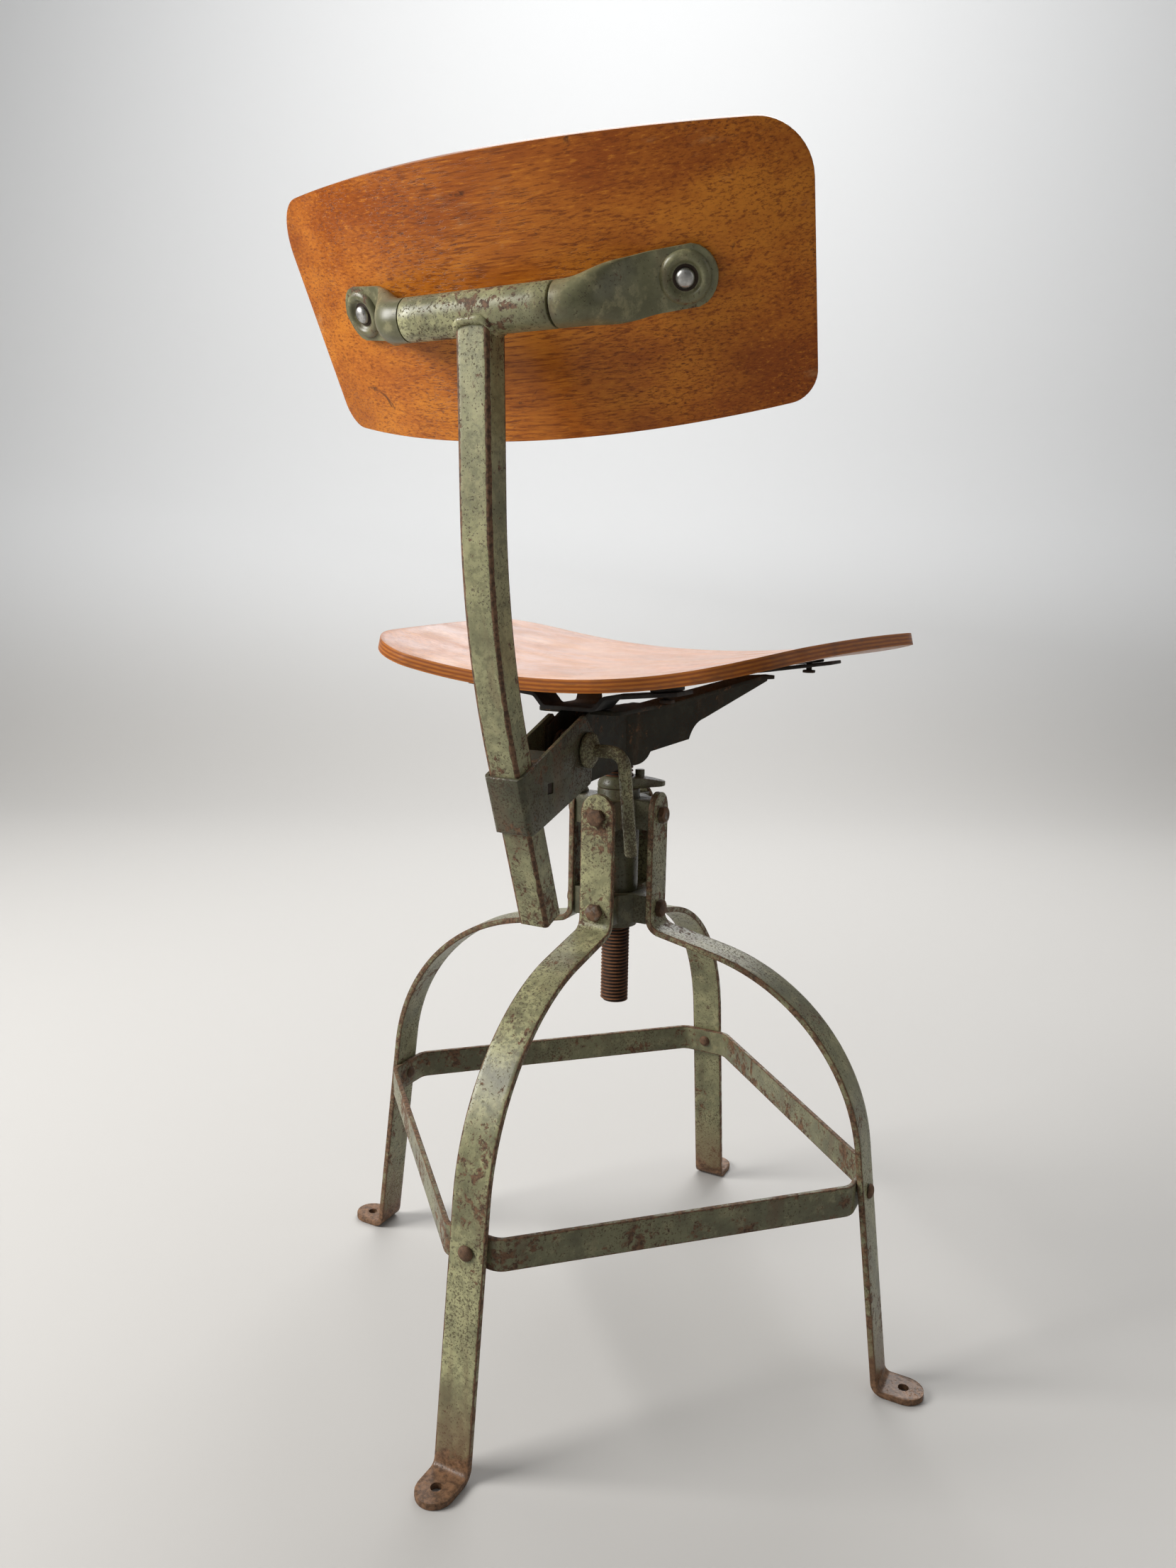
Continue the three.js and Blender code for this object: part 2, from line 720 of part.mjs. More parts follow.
// Half of the folded bracket: beside the pivot, round the spindle socket, out along a wing.
function makeBracketHalf() {
  const wrapR = socketR + sheet / 2 + CONTACT;
  const wrapStart = Math.acos(bracketHalf / wrapR);
  const points = [new THREE.Vector2(bracketHalf, bracketRear)];
  const steps = 3;
  for (let i = 0; i <= steps; i += 1) {
    const a = wrapStart + ((rad(wingAngle) - wrapStart) * i) / steps;
    points.push(new THREE.Vector2(wrapR * Math.cos(a), wrapR * Math.sin(a)));
  }
  const out = new THREE.Vector2(Math.sin(rad(wingAngle)), -Math.cos(rad(wingAngle)));
  points.push(points[points.length - 1].clone().addScaledVector(out, wingLength));
  const tipY = points[points.length - 1].y - 3;
  const folded = prism(strip(points, sheet), "xy", skirtRearZ - 1, frontStrapZ);
  const notch = new THREE.Shape();
  const wingRoot = wrapR * Math.sin(rad(wingAngle));
  notch.moveTo(bracketRear + 1, bracketBottom + 18);
  notch.absarc(pivotY + 4, bracketBottom + 12, 12, 0, -Math.PI / 2, true);
  notch.lineTo(skirtRear + 2, bracketBottom);
  notch.lineTo(skirtRear, skirtRearZ);
  notch.lineTo(skirtFront, skirtFrontZ);
  notch.quadraticCurveTo(-wingRoot / 2, skirtFrontZ + 1, -wingRoot, bracketBottom + 2);
  notch.lineTo(notchY, bracketBottom + wingRise);
  notch.quadraticCurveTo(
    notchY - 4, bracketBottom + wingRise + 14, notchY - 14, bracketBottom + wingRise + 17,
  );
  notch.lineTo(tipY + 6, frontStrapZ - 7);
  notch.lineTo(tipY, frontStrapZ - 4);
  notch.lineTo(tipY, frontStrapZ - CONTACT);
  notch.lineTo(points.at(-1).y + strapWidth - 6, frontStrapZ - CONTACT);
  notch.lineTo(0, bracketTop);
  notch.lineTo(flangeRear, bracketTop);
  notch.lineTo(bracketRear + 1, bracketTop - 11);
  const pivot = new THREE.Vector3(0, pivotY, pivotZ);
  // Flange folded outwards along the top edge, narrowing to the tip of the wing.
  const wingTip = points.at(-1);
  const side = new THREE.Vector2(-out.y, out.x);
  const plan = rounded([
    [bracketHalf, flangeRear, 0],
    [bracketHalf, 0, 0],
    [wrapR, 0, 0],
    [points.at(-2).x, points.at(-2).y, 0],
    [wingTip.x, wingTip.y, 0],
    [wingTip.x + side.x * 14, wingTip.y + side.y * 14, 6],
    [bracketHalf + flangeWidth, 12, 20],
    [bracketHalf + flangeWidth, flangeRear, 9],
  ], 3);
  const ridge = [
    new THREE.Vector2(flangeRear, bracketTop - sheet / 2),
    new THREE.Vector2(0, bracketTop - sheet / 2),
    new THREE.Vector2(wingTip.y + strapWidth - 6, frontStrapZ - CONTACT - sheet / 2),
    new THREE.Vector2(wingTip.y - 8, frontStrapZ - CONTACT - sheet / 2),
  ];
  const flange = prism(strip(ridge, sheet), "yz", 0, 200)
    .intersect(prism(plan, "xy", bracketBottom, frontStrapZ));
  return folded
    .intersect(prism(notch, "yz", 0, 200))
    .add(flange)
    .subtract(bore(pivotR + RUNNING, axisX, 0, 30, pivot));
}

// A strap across the seat, from its route out from the middle.
function makeStrap(underside, middleY, moves) {
  const half = route(0, underside + sheet / 2, 0, moves);
  const mirrored = half.slice(1).map((p) => new THREE.Vector2(-p.x, p.y)).reverse();
  const points = mirrored.concat(half);
  let strap = prism(
    strip(points, sheet), "xz", middleY - strapWidth / 2, middleY + strapWidth / 2,
  );
  for (const { x, y } of screwSpots)
    if (Math.abs(y - middleY) < strapWidth)
      strap = strap.subtract(
        rod(seatScrewR + 0.5, axisZ, underside - 5, underside + 40, new THREE.Vector3(x, y, 0), 12),
      );
  return strap;
}
const rearStrap = {
  y: 77,
  z: rearStrapZ,
  moves: [
    { go: 19 }, { turn: 48, r: 6, fine: 16 }, { go: 8 }, { turn: -42, r: 6, fine: 14 }, { go: 58 },
  ],
};
const frontStrap = {
  y: -143,
  z: frontStrapZ,
  moves: [{ go: 70 }, { turn: 9, r: 60, fine: 9 }, { go: 62 }],
};

// Top face of a strap at a distance across.
function strapTop({ z, moves }, x) {
  const points = route(0, z + sheet / 2, 0, moves);
  for (let i = 1; i < points.length; i += 1)
    if (x <= points[i].x) {
      const a = points[i - 1];
      const b = points[i];
      return a.y + ((b.y - a.y) * (x - a.x)) / (b.x - a.x) + sheet / 2;
    }
  return z;
}

// A rubber disc squeezed between a strap and the seat, lying at the slope of the plywood.
function makePad(spot, strapHere) {
  const low = strapTop(strapHere, Math.abs(spot.x));
  const high = seatTop(spot.x, spot.y) - seatThick;
  const step = 10;
  const rise = seatTop(spot.x + step, spot.y) - seatTop(spot.x - step, spot.y);
  const slope = Math.atan(rise / (2 * step));
  const thick = (high - low) * Math.cos(slope) - 4 * CONTACT;
  const at = new THREE.Vector3(spot.x, spot.y, (low + high) / 2);
  const up = new THREE.Vector3(-Math.sin(slope), 0, Math.cos(slope));
  const block = rod(padR, up, -thick / 2, thick / 2, at, 20);
  return block.subtract(rod(seatScrewR + 1, up, -thick, thick, at, 12));
}

// Hexagon-headed screw driven up through strap and rubber into the plywood.
function makeSeatScrew(spot, strapHere) {
  const at = new THREE.Vector3(spot.x, spot.y, 0);
  const seatOn = strapTop(strapHere, Math.abs(spot.x)) - sheet - 2.4;
  const tip = seatTop(spot.x, spot.y) - 4;
  return hexPrism(seatScrewAF, seatOn - seatScrewHead, seatOn)
    .translate([spot.x, spot.y, 0])
    .add(rod(seatScrewR, axisZ, seatOn - 1, tip, at, 10));
}

function makeSocket() {
  const low = socketBottom;
  const tube = rod(socketR, axisZ, low, screwTop + 8, new THREE.Vector3(), 32);
  return tube.subtract(bore(screwR + RUNNING, axisZ, low - 1, screwTop + 0.5, undefined, 24));
}

piece(seat, "seat_panel", makeSeatPanel(), plywood());
const bracketHalfBody = makeBracketHalf();
piece(seat, "seat_bracket_left", bracketHalfBody, darkPaint());
piece(seat, "seat_bracket_right", bracketHalfBody.mirror([1, 0, 0]), darkPaint());
piece(seat, "spindle_socket", makeSocket(), darkPaint());
piece(seat, "rear_strap", makeStrap(rearStrap.z, rearStrap.y, rearStrap.moves), darkPaint());
piece(seat, "front_strap", makeStrap(frontStrap.z, frontStrap.y, frontStrap.moves), darkPaint());
for (const spot of screwSpots) {
  const strapHere = spot.y > 0 ? rearStrap : frontStrap;
  piece(seat, `rubber_pad_${spot.name}`, makePad(spot, strapHere), rubber());
  piece(seat, `seat_screw_${spot.name}`, makeSeatScrew(spot, strapHere), brownSteel());
}

// Torsion spring wound round the pivot between the bracket's plates.
function makeSpring() {
  const width = 2 * (bracketHalf - sheet / 2) - springWire - 1;
  const points = [];
  const steps = 12 * springTurns;
  for (let i = 0; i <= steps; i += 1) {
    const a = rad(120) + (i / 12) * 2 * Math.PI;
    const x = -width / 2 + (width * i) / steps;
    points.push(
      new THREE.Vector3(x, pivotY + springR * Math.cos(a), pivotZ + springR * Math.sin(a)),
    );
  }
  const section = new THREE.Shape();
  section.absarc(0, 0, springWire / 2, 0, 2 * Math.PI);
  return solid(
    new THREE.ExtrudeGeometry(section, {
      steps,
      curveSegments: 6,
      extrudePath: new THREE.CatmullRomCurve3(points),
    }),
  );
}
piece(seat, "torsion_spring", makeSpring(), rustySteel());

// ---------------------------------------------------------------- sprung back
const back = new THREE.Group();
model.add(back);
const clevisOuter = clevisInner + sheet;
const lean = rad(postLean);

// The post's mid line from its lower end: y across, z up.
const postTurn = postLean - postUpright;
function postRoute(lower, upper) {
  return route(postBottomY, postBottomZ, 90 - postLean, [
    { go: lower },
    { turn: postTurn, r: postBendR, fine: 3 },
    { go: upper },
  ]);
}

// The upper straight ends on the axis of the cross sleeve.
const bendEnd = postRoute(postLower, 0).at(-1);
const postUpper = (sleeveZ - bendEnd.y) / Math.cos(rad(postUpright));

function makePost() {
  const outerRoute = postRoute(postLower, postUpper);
  const half = postWidth / 2;
  const outer = prism(strip(outerRoute, postDepth), "yz", -half, half);
  const innerRoute = route(
    postBottomY - 5 * Math.sin(lean),
    postBottomZ - 5 * Math.cos(lean),
    90 - postLean,
    [{ go: postLower + 5 }, { turn: postTurn, r: postBendR, fine: 3 }, { go: postUpper + 5 }],
  );
  const innerHalf = half - postWall;
  const inner = prism(strip(innerRoute, postDepth - 2 * postWall), "yz", -innerHalf, innerHalf);
  const top = outerRoute.at(-1);
  const cope = new THREE.Vector3(0, top.x, top.y);
  return outer
    .subtract(inner)
    .subtract(bore(sleeveR + CONTACT, axisX, -half - 1, half + 1, cope, 32));
}

const sleeveAt = new THREE.Vector3(0, postRoute(postLower, postUpper).at(-1).x, sleeveZ);
function makeSleeve() {
  const tube = rod(sleeveR, axisX, -sleeveHalf, sleeveHalf, sleeveAt, 32);
  return tube.subtract(bore(axleR + RUNNING, axisX, -sleeveHalf - 1, sleeveHalf + 1, sleeveAt, 24));
}

// A point on the post: distance along its lower straight, and offset across to the rear.
function onPost(along, across) {
  return new THREE.Vector2(
    postBottomY + along * Math.sin(lean) + across * Math.cos(lean),
    postBottomZ + along * Math.cos(lean) - across * Math.sin(lean),
  );
}

// The clevis is a folded strap: a web behind the post and two side plates out to the pivot.
function makeClevis() {
  const rearFace = postDepth / 2 + CONTACT + sheet;
  const rearTop = onPost(clevisWebHigh, rearFace);
  const rearBottom = onPost(clevisWebLow, rearFace);
  const side = rounded([
    [rearTop.x, rearTop.y, 2],
    [rearBottom.x, rearBottom.y, 3],
    [pivotY + 61, pivotZ - 48, 30],
    [pivotY - 9, pivotZ - 27, 4],
    [pivotY - 11, pivotZ + 13, 8],
    [pivotY + 4, pivotZ + 27, 4],
  ], 4);
  const outer = prism(side, "yz", -clevisOuter, clevisOuter);
  // Plan section square to the post: rounded folds behind it, open towards the pivot.
  const section = (half, rear, r) => {
    const plan = rounded([[-half, -160, 0], [half, -160, 0], [half, rear, r], [-half, rear, r]], 4);
    const sleeve = prism(plan, "xy", -40, 240);
    return sleeve.rotate([-postLean, 0, 0]).translate([0, postBottomY, postBottomZ]);
  };
  const pivot = new THREE.Vector3(0, pivotY, pivotZ);
  const pegY = pivotY + pegBack;
  const pegZ = pivotZ - pegDrop;
  return outer
    .intersect(section(clevisOuter, rearFace, 5))
    .subtract(section(clevisInner, rearFace - sheet, 0))
    .subtract(bore(pivotR + RUNNING, axisX, -30, 30, pivot))
    .subtract(box(-clevisOuter - 1, 0, pegY - pegHole / 2, pegY + pegHole / 2,
      pegZ - pegHole / 2, pegZ + pegHole / 2));
}

// A bent plate between the clevis's sides that bears on the front of the post.
function makeGripPlate() {
  const face = -postDepth / 2 - CONTACT - sheet / 2;
  const foot = onPost(86, face);
  const half = clevisInner - CONTACT;
  const points = route(foot.x, foot.y, 90 - postLean, [
    { go: 30 }, { turn: 75, r: 5, fine: 19 }, { go: 17 },
  ]);
  return prism(strip(points, sheet), "yz", -half, half);
}

// Square to the plane in which the crank bends.
const armSide = new THREE.Vector3(0, Math.cos(rad(crankLean)), -Math.sin(rad(crankLean)));

// Crank: a shaft through the pivot, a welded boss and a bent round handle.
function makeCrank() {
  const pivot = new THREE.Vector3(0, pivotY, pivotZ);
  const armDown = new THREE.Vector3(0, -Math.sin(rad(crankLean)), -Math.cos(rad(crankLean)));
  const bossFace = -clevisOuter - CONTACT;
  const corner = pivot.clone().addScaledVector(axisX, -crankOut);
  const start = pivot.clone().addScaledVector(axisX, bossFace - 3);
  const bendStart = corner.clone().addScaledVector(axisX, crankBend);
  const end = corner.clone().addScaledVector(armDown, crankArm);
  const points = [start];
  const centre = bendStart.clone().addScaledVector(armDown, crankBend);
  const steps = 5;
  for (let i = 0; i <= steps; i += 1) {
    const a = ((i / steps) * Math.PI) / 2;
    points.push(
      centre.clone()
        .addScaledVector(armDown, -crankBend * Math.cos(a))
        .addScaledVector(axisX, -crankBend * Math.sin(a)),
    );
  }
  points.push(end);
  let handle = sweep(points, crankR, 14);
  handle = handle.add(rod(bossR, axisX, bossFace - bossThick, bossFace, pivot, 24));
  return handle.add(rod(pivotR, axisX, bossFace - 1, clevisOuter + 11, pivot, 24));
}

// A round bar through a list of points, mitred at each of them.
function sweep(points, radius, sidesCount) {
  const rings = points.map((p, i) => {
    const before = points[Math.max(i - 1, 0)];
    const after = points[Math.min(i + 1, points.length - 1)];
    const din = p.clone().sub(before);
    const dout = after.clone().sub(p);
    if (i === 0) din.copy(dout);
    if (i === points.length - 1) dout.copy(din);
    const along = din.normalize().clone().add(dout.normalize()).normalize();
    const out = armSide.clone().cross(along).normalize();
    const across = along.clone().cross(out).normalize();
    const stretch = 1 / along.dot(din);
    const ring = [];
    for (let j = 0; j < sidesCount; j += 1) {
      const a = (2 * Math.PI * j) / sidesCount;
      ring.push(
        p.clone()
          .addScaledVector(out, radius * stretch * Math.cos(a))
          .addScaledVector(across, radius * Math.sin(a)),
      );
    }
    return ring;
  });
  return loft(rings);
}

function makeClampNut() {
  const low = clevisOuter + CONTACT;
  const high = low + clampNutThick;
  const pivot = new THREE.Vector3(0, pivotY, pivotZ);
  return hexPrism(clampNutAF, low, high)
    .rotate([0, 90, 0])
    .translate(pivot.toArray())
    .subtract(bore(pivotR + RUNNING, axisX, low - 1, high + 1, pivot));
}

piece(back, "back_clevis", makeClevis(), paint());
piece(back, "grip_plate", makeGripPlate(), darkPaint());
piece(back, "clamp_crank", makeCrank(), wornPaint());
piece(back, "clamp_nut", makeClampNut(), brownSteel());
piece(back, "back_post", makePost(), paint());
piece(back, "cross_sleeve", makeSleeve(), wornPaint());

// ---------------------------------------------------------------- back panel
// The panel group's origin is the middle of the panel's rear face; local Y is its rear normal.
const panelGroup = new THREE.Group();
panelGroup.position.set(0, panelY, panelZ);
panelGroup.rotation.x = -rad(panelTilt);
back.add(panelGroup);
panelGroup.updateMatrixWorld(true);
const sleeveLocal = panelGroup.worldToLocal(sleeveAt.clone());

// A point of the curved panel: across its rear face, up it, and out of it.
function onPanel(across, up, out) {
  const a = across / panelCurveR;
  const r = panelCurveR + out;
  return new THREE.Vector3(r * Math.sin(a), r * Math.cos(a) - panelCurveR, up);
}

const boltTurn = Math.asin(panelBoltHalf / panelCurveR);

// A rod square to the panel's face at one of its bolts.
function boltRod(side, radius, from, to, sidesCount = 16) {
  const normal = new THREE.Vector3(side * Math.sin(boltTurn), Math.cos(boltTurn), 0);
  const foot = onPanel(side * boltTurn * panelCurveR, panelBoltHeight, 0);
  return rod(radius, normal, from, to, foot, sidesCount);
}

function makeBackPanel() {
  const rows = sheetRows(
    -panelHalfHeight, panelHalfHeight, panelBottomHalf, panelTopHalf,
    panelBottomCorner, panelTopCorner, 4,
  );
  const columns = 14;
  const at = (i, j, out) => {
    const across = rows[i].half * ((2 * j) / columns - 1);
    const height = rows[i].y / panelHalfHeight;
    const crown = height > 0 ? panelTopCrown : panelBottomCrown;
    const arch = 1 - (across / panelTopHalf) ** 2;
    return onPanel(across, rows[i].y + crown * height * arch, out);
  };
  let panel = mouldedSheet(
    rows.length - 1, columns, (i, j) => at(i, j, 0), (i, j) => at(i, j, -panelThick),
  );
  for (const side of [-1, 1])
    panel = panel.subtract(boltRod(side, panelBoltR + 0.3, -panelThick * 2, panelThick));
  return panel;
}

// A tube end that is round beside the sleeve and flattened on the panel.
const tabLift = CONTACT + tabThick / 2 + 0.25;
function makeArm(side) {
  const flat = THREE.MathUtils.radToDeg(boltTurn);
  const startX = sleeveHalf + 0.5;
  const tabPoint = onPanel(boltTurn * panelCurveR, 0, tabLift);
  const bendDown = (to) => armBend * (Math.cos(rad(to)) - Math.cos(rad(armSteep)));
  const bendOut = (to) => armBend * (Math.sin(rad(armSteep)) - Math.sin(rad(to)));
  const drop = sleeveLocal.y - bendDown(0) - bendDown(flat);
  const out = startX + 3.5 + bendOut(0) + bendOut(flat);
  const tan = Math.tan(rad(flat));
  const fall = drop - tabPoint.y - (tabPoint.x - out) * tan;
  const slant = fall / (Math.sin(rad(armSteep)) - Math.cos(rad(armSteep)) * tan);
  const tabStart = out + slant * Math.cos(rad(armSteep));
  const tabLength = (tabPoint.x - tabStart) / Math.cos(rad(flat)) + tabReach;
  const middle = route(startX, sleeveLocal.y, 0, [
    { go: 3.5 },
    { turn: -armSteep, r: armBend, fine: 13 },
    { go: slant / 2 },
    { go: slant / 2 },
    { turn: armSteep - flat, r: armBend, fine: 12 },
    { go: tabLength - tabReach },
    { go: tabReach * 0.55 },
    { go: tabReach * 0.3 },
    { go: tabReach * 0.15 },
  ]);
  const lengths = [0];
  for (let i = 1; i < middle.length; i += 1)
    lengths.push(lengths[i - 1] + middle[i].distanceTo(middle[i - 1]));
  const total = lengths.at(-1);
  const flatFrom = total - tabLength - 6;
  const rings = middle.map((p, i) => {
    const before = middle[Math.max(i - 1, 0)];
    const after = middle[Math.min(i + 1, middle.length - 1)];
    const along = after.clone().sub(before).normalize();
    const share = THREE.MathUtils.smoothstep(lengths[i], 4, flatFrom);
    const fromEnd = Math.max(total - lengths[i], 0.6);
    const pastBolt = Math.max(0, tabReach - fromEnd);
    const endRound = Math.min(1, Math.sqrt(tabReach ** 2 - pastBolt ** 2) / tabHalf);
    const high = THREE.MathUtils.lerp(sleeveR, tabHalf, share) * endRound;
    const deep = THREE.MathUtils.lerp(sleeveR, tabThick / 2, share);
    const up = THREE.MathUtils.lerp(sleeveLocal.z, panelBoltHeight, share);
    const power = THREE.MathUtils.lerp(1, 0.45, share);
    const ring = [];
    const count = 16;
    for (let j = 0; j < count; j += 1) {
      const a = (2 * Math.PI * j) / count;
      const s = Math.sin(a);
      const c = Math.cos(a);
      const across = deep * Math.sign(s) * Math.abs(s) ** power;
      const x = p.x - along.y * across;
      const y = p.y + along.x * across;
      ring.push(new THREE.Vector3(side * x, y, up + high * c));
    }
    return ring;
  });
  const socket = rod(
    axleR + 0.05, axisX, -startX - 14, startX + 14, new THREE.Vector3(0, sleeveLocal.y, sleeveLocal.z),
  );
  return loft(rings)
    .subtract(socket)
    .subtract(boltRod(side, panelBoltR + 0.4, -3, tabLift + tabThick * 2));
}

// Dome-headed bolt from behind, and the flanged nut that it draws into the front face.
function makePanelBolt(side) {
  const on = tabLift + tabThick / 2 + 0.2;
  const head = dome(panelBoltHeadR, panelBoltHeadHeight, on, 20);
  const foot = onPanel(side * boltTurn * panelCurveR, panelBoltHeight, 0);
  const degrees = THREE.MathUtils.radToDeg(side * boltTurn);
  return head
    .rotate([-90, 0, 0])
    .rotate([0, 0, -degrees])
    .translate([foot.x, foot.y, foot.z])
    .add(boltRod(side, panelBoltR, -panelThick - 0.5, on + 1));
}
function makePanelNut(side) {
  return boltRod(side, panelNutR, -panelThick - 3.2, -panelThick - 0.4, 24).subtract(
    boltRod(side, panelBoltR + 0.2, -panelThick - 1.6, 0),
  );
}

function makeAxle() {
  const reach = sleeveHalf + 12;
  return rod(axleR, axisX, -reach, reach, new THREE.Vector3(0, sleeveLocal.y, sleeveLocal.z), 24);
}

piece(panelGroup, "back_panel", makeBackPanel(), plywood());
piece(panelGroup, "back_axle", makeAxle(), brownSteel());
for (const [name, side] of [["left", 1], ["right", -1]]) {
  piece(panelGroup, `back_arm_${name}`, makeArm(side), wornPaint());
  piece(panelGroup, `panel_bolt_${name}`, makePanelBolt(side), zinc());
  piece(panelGroup, `panel_nut_${name}`, makePanelNut(side), zinc());
}

export default model;
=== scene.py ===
"""Draughtsman's swivel chair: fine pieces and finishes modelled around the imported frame."""
import json
import math

import bmesh
import bpy
from mathutils import Matrix, Vector, noise

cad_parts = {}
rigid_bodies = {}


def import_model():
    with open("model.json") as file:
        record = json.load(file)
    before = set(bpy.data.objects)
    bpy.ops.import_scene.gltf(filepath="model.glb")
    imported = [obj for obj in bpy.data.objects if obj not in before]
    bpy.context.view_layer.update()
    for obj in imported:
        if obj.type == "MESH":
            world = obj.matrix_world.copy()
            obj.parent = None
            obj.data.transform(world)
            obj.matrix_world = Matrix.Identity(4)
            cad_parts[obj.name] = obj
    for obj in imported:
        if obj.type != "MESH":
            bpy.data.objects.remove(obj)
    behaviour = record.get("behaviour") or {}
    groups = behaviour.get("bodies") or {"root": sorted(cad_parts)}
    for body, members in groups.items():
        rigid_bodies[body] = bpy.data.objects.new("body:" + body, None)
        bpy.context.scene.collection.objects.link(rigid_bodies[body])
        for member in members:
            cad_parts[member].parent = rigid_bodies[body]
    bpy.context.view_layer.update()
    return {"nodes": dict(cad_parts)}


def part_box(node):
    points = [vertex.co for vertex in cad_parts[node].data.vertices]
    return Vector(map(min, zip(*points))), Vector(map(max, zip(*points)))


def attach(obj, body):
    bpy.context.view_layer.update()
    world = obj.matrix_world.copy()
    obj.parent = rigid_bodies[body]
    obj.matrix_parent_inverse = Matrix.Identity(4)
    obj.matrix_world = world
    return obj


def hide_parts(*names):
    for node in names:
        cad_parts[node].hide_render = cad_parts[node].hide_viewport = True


bl_info = {
    "name": "Draughtsman's Swivel Chair",
    "version": (1, 0, 0),
    "blender": (4, 5, 0),
    "location": "View3D > Sidebar > Chair",
    "description": "Models and finishes a screw-raised workshop chair on its packed frame",
    "category": "Add Mesh",
}

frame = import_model()
MM = 0.001
POLE = 0.004  # radius of a turned piece's end ring, in millimetres, that merging closes
STEPS_OF_TIP = (0.15, 0.5, 1.0, 1.6, 2.4, 3.4, 4.6)  # finer and finer rings at a rounded end


# ------------------------------------------------------------------ sizes, colours and stage
class ChairSizes(bpy.types.PropertyGroup):
    """Sizes of the modelled pieces, in metres."""

    edge: bpy.props.FloatProperty(
        name="Edge rounding", description="Rounding of sheet and bar edges",
        default=0.0007, min=0.0002, max=0.0015, unit="LENGTH")
    leg_knee: bpy.props.FloatProperty(
        name="Knee radius", description="Radius of a leg's big outer curve, at mid thickness",
        default=0.164, unit="LENGTH")
    thread_pitch: bpy.props.FloatProperty(
        name="Thread pitch", description="Rise of the seat screw in one turn",
        default=0.003, unit="LENGTH")
    thread_depth: bpy.props.FloatProperty(
        name="Thread depth", description="Crest to root of the seat screw",
        default=0.0018, unit="LENGTH")
    ply_rounding: bpy.props.FloatProperty(
        name="Plywood edge rounding", description="Rounding of the seat's and the back's rims",
        default=0.0028, unit="LENGTH")
    crank_bar: bpy.props.FloatProperty(
        name="Crank bar", description="Diameter of the clamp crank's round bar",
        default=0.010, unit="LENGTH")


class ChairColours(bpy.types.PropertyGroup):
    """Colours of the finishes."""

    paint: bpy.props.FloatVectorProperty(
        name="Paint", description="Grey-green enamel", subtype="COLOR", size=3,
        default=(0.185, 0.180, 0.096), min=0, max=1)
    # Painted shade: the same enamel, darkened where it lies under the seat, with its grime
    shaded_paint: bpy.props.FloatVectorProperty(
        name="Shaded grimy paint", description="The same enamel under the seat", subtype="COLOR",
        size=3, default=(0.024, 0.022, 0.013), min=0, max=1)
    rust: bpy.props.FloatVectorProperty(
        name="Rust", description="Chips through the enamel", subtype="COLOR", size=3,
        default=(0.062, 0.033, 0.017), min=0, max=1)
    varnish: bpy.props.FloatVectorProperty(
        name="Varnished beech", description="Main tone of the plywood's faces",
        subtype="COLOR", size=3, default=(0.45, 0.130, 0.011), min=0, max=1)
    varnish_dark: bpy.props.FloatVectorProperty(
        name="Dark grain", description="Dark tone of the plywood's faces", subtype="COLOR",
        size=3, default=(0.25, 0.058, 0.005), min=0, max=1)
    zinc: bpy.props.FloatVectorProperty(
        name="Zinc", description="Plated bolts", subtype="COLOR", size=3,
        default=(0.55, 0.54, 0.52), min=0, max=1)


class ChairStage(bpy.types.PropertyGroup):
    """Camera, light and backdrop."""

    lens: bpy.props.FloatProperty(
        name="Lens", description="Focal length on a 36 mm tall frame", default=26.40)
    window: bpy.props.FloatProperty(
        name="Window light", description="Power of the big soft light", default=104.0)
    room: bpy.props.FloatProperty(
        name="Room light", description="Strength of the light from all round", default=0.21)
    floor: bpy.props.FloatVectorProperty(
        name="Floor", description="Pale floor", subtype="COLOR", size=3,
        default=(0.46, 0.45, 0.435), min=0, max=1)
    wall: bpy.props.FloatVectorProperty(
        name="Wall", description="Pale backdrop", subtype="COLOR", size=3,
        default=(0.78, 0.79, 0.80), min=0, max=1)


# ------------------------------------------------------------------ modelling helpers
def let_go():
    """Object mode, with nothing selected."""
    if bpy.context.mode != "OBJECT":
        bpy.ops.object.mode_set(mode="OBJECT")
    bpy.ops.object.select_all(action="DESELECT")


def take(piece):
    let_go()
    piece.select_set(True)
    bpy.context.view_layer.objects.active = piece


def enter(piece):
    take(piece)
    bpy.ops.object.mode_set(mode="EDIT")
    bpy.ops.mesh.select_all(action="SELECT")


def added(name):
    """Names what an add operator has just made."""
    piece = bpy.context.object
    piece.name = name
    piece.data.name = name
    return piece


def modify(piece, kind, **settings):
    """Adds a modifier and applies it."""
    take(piece)
    modifier = piece.modifiers.new(kind.title(), kind)
    for key, value in settings.items():
        setattr(modifier, key, value)
    bpy.ops.object.modifier_apply(modifier=modifier.name)


def smooth(piece, degrees=35):
    take(piece)
    bpy.ops.object.shade_smooth_by_angle(angle=math.radians(degrees))


def close_and_face_out(piece, gap=0.02):
    """Merges doubled points (gap in mm) and turns the faces outwards."""
    enter(piece)
    bpy.ops.mesh.remove_doubles(threshold=gap * MM)
    bpy.ops.mesh.normals_make_consistent(inside=False)
    bpy.ops.object.mode_set(mode="OBJECT")


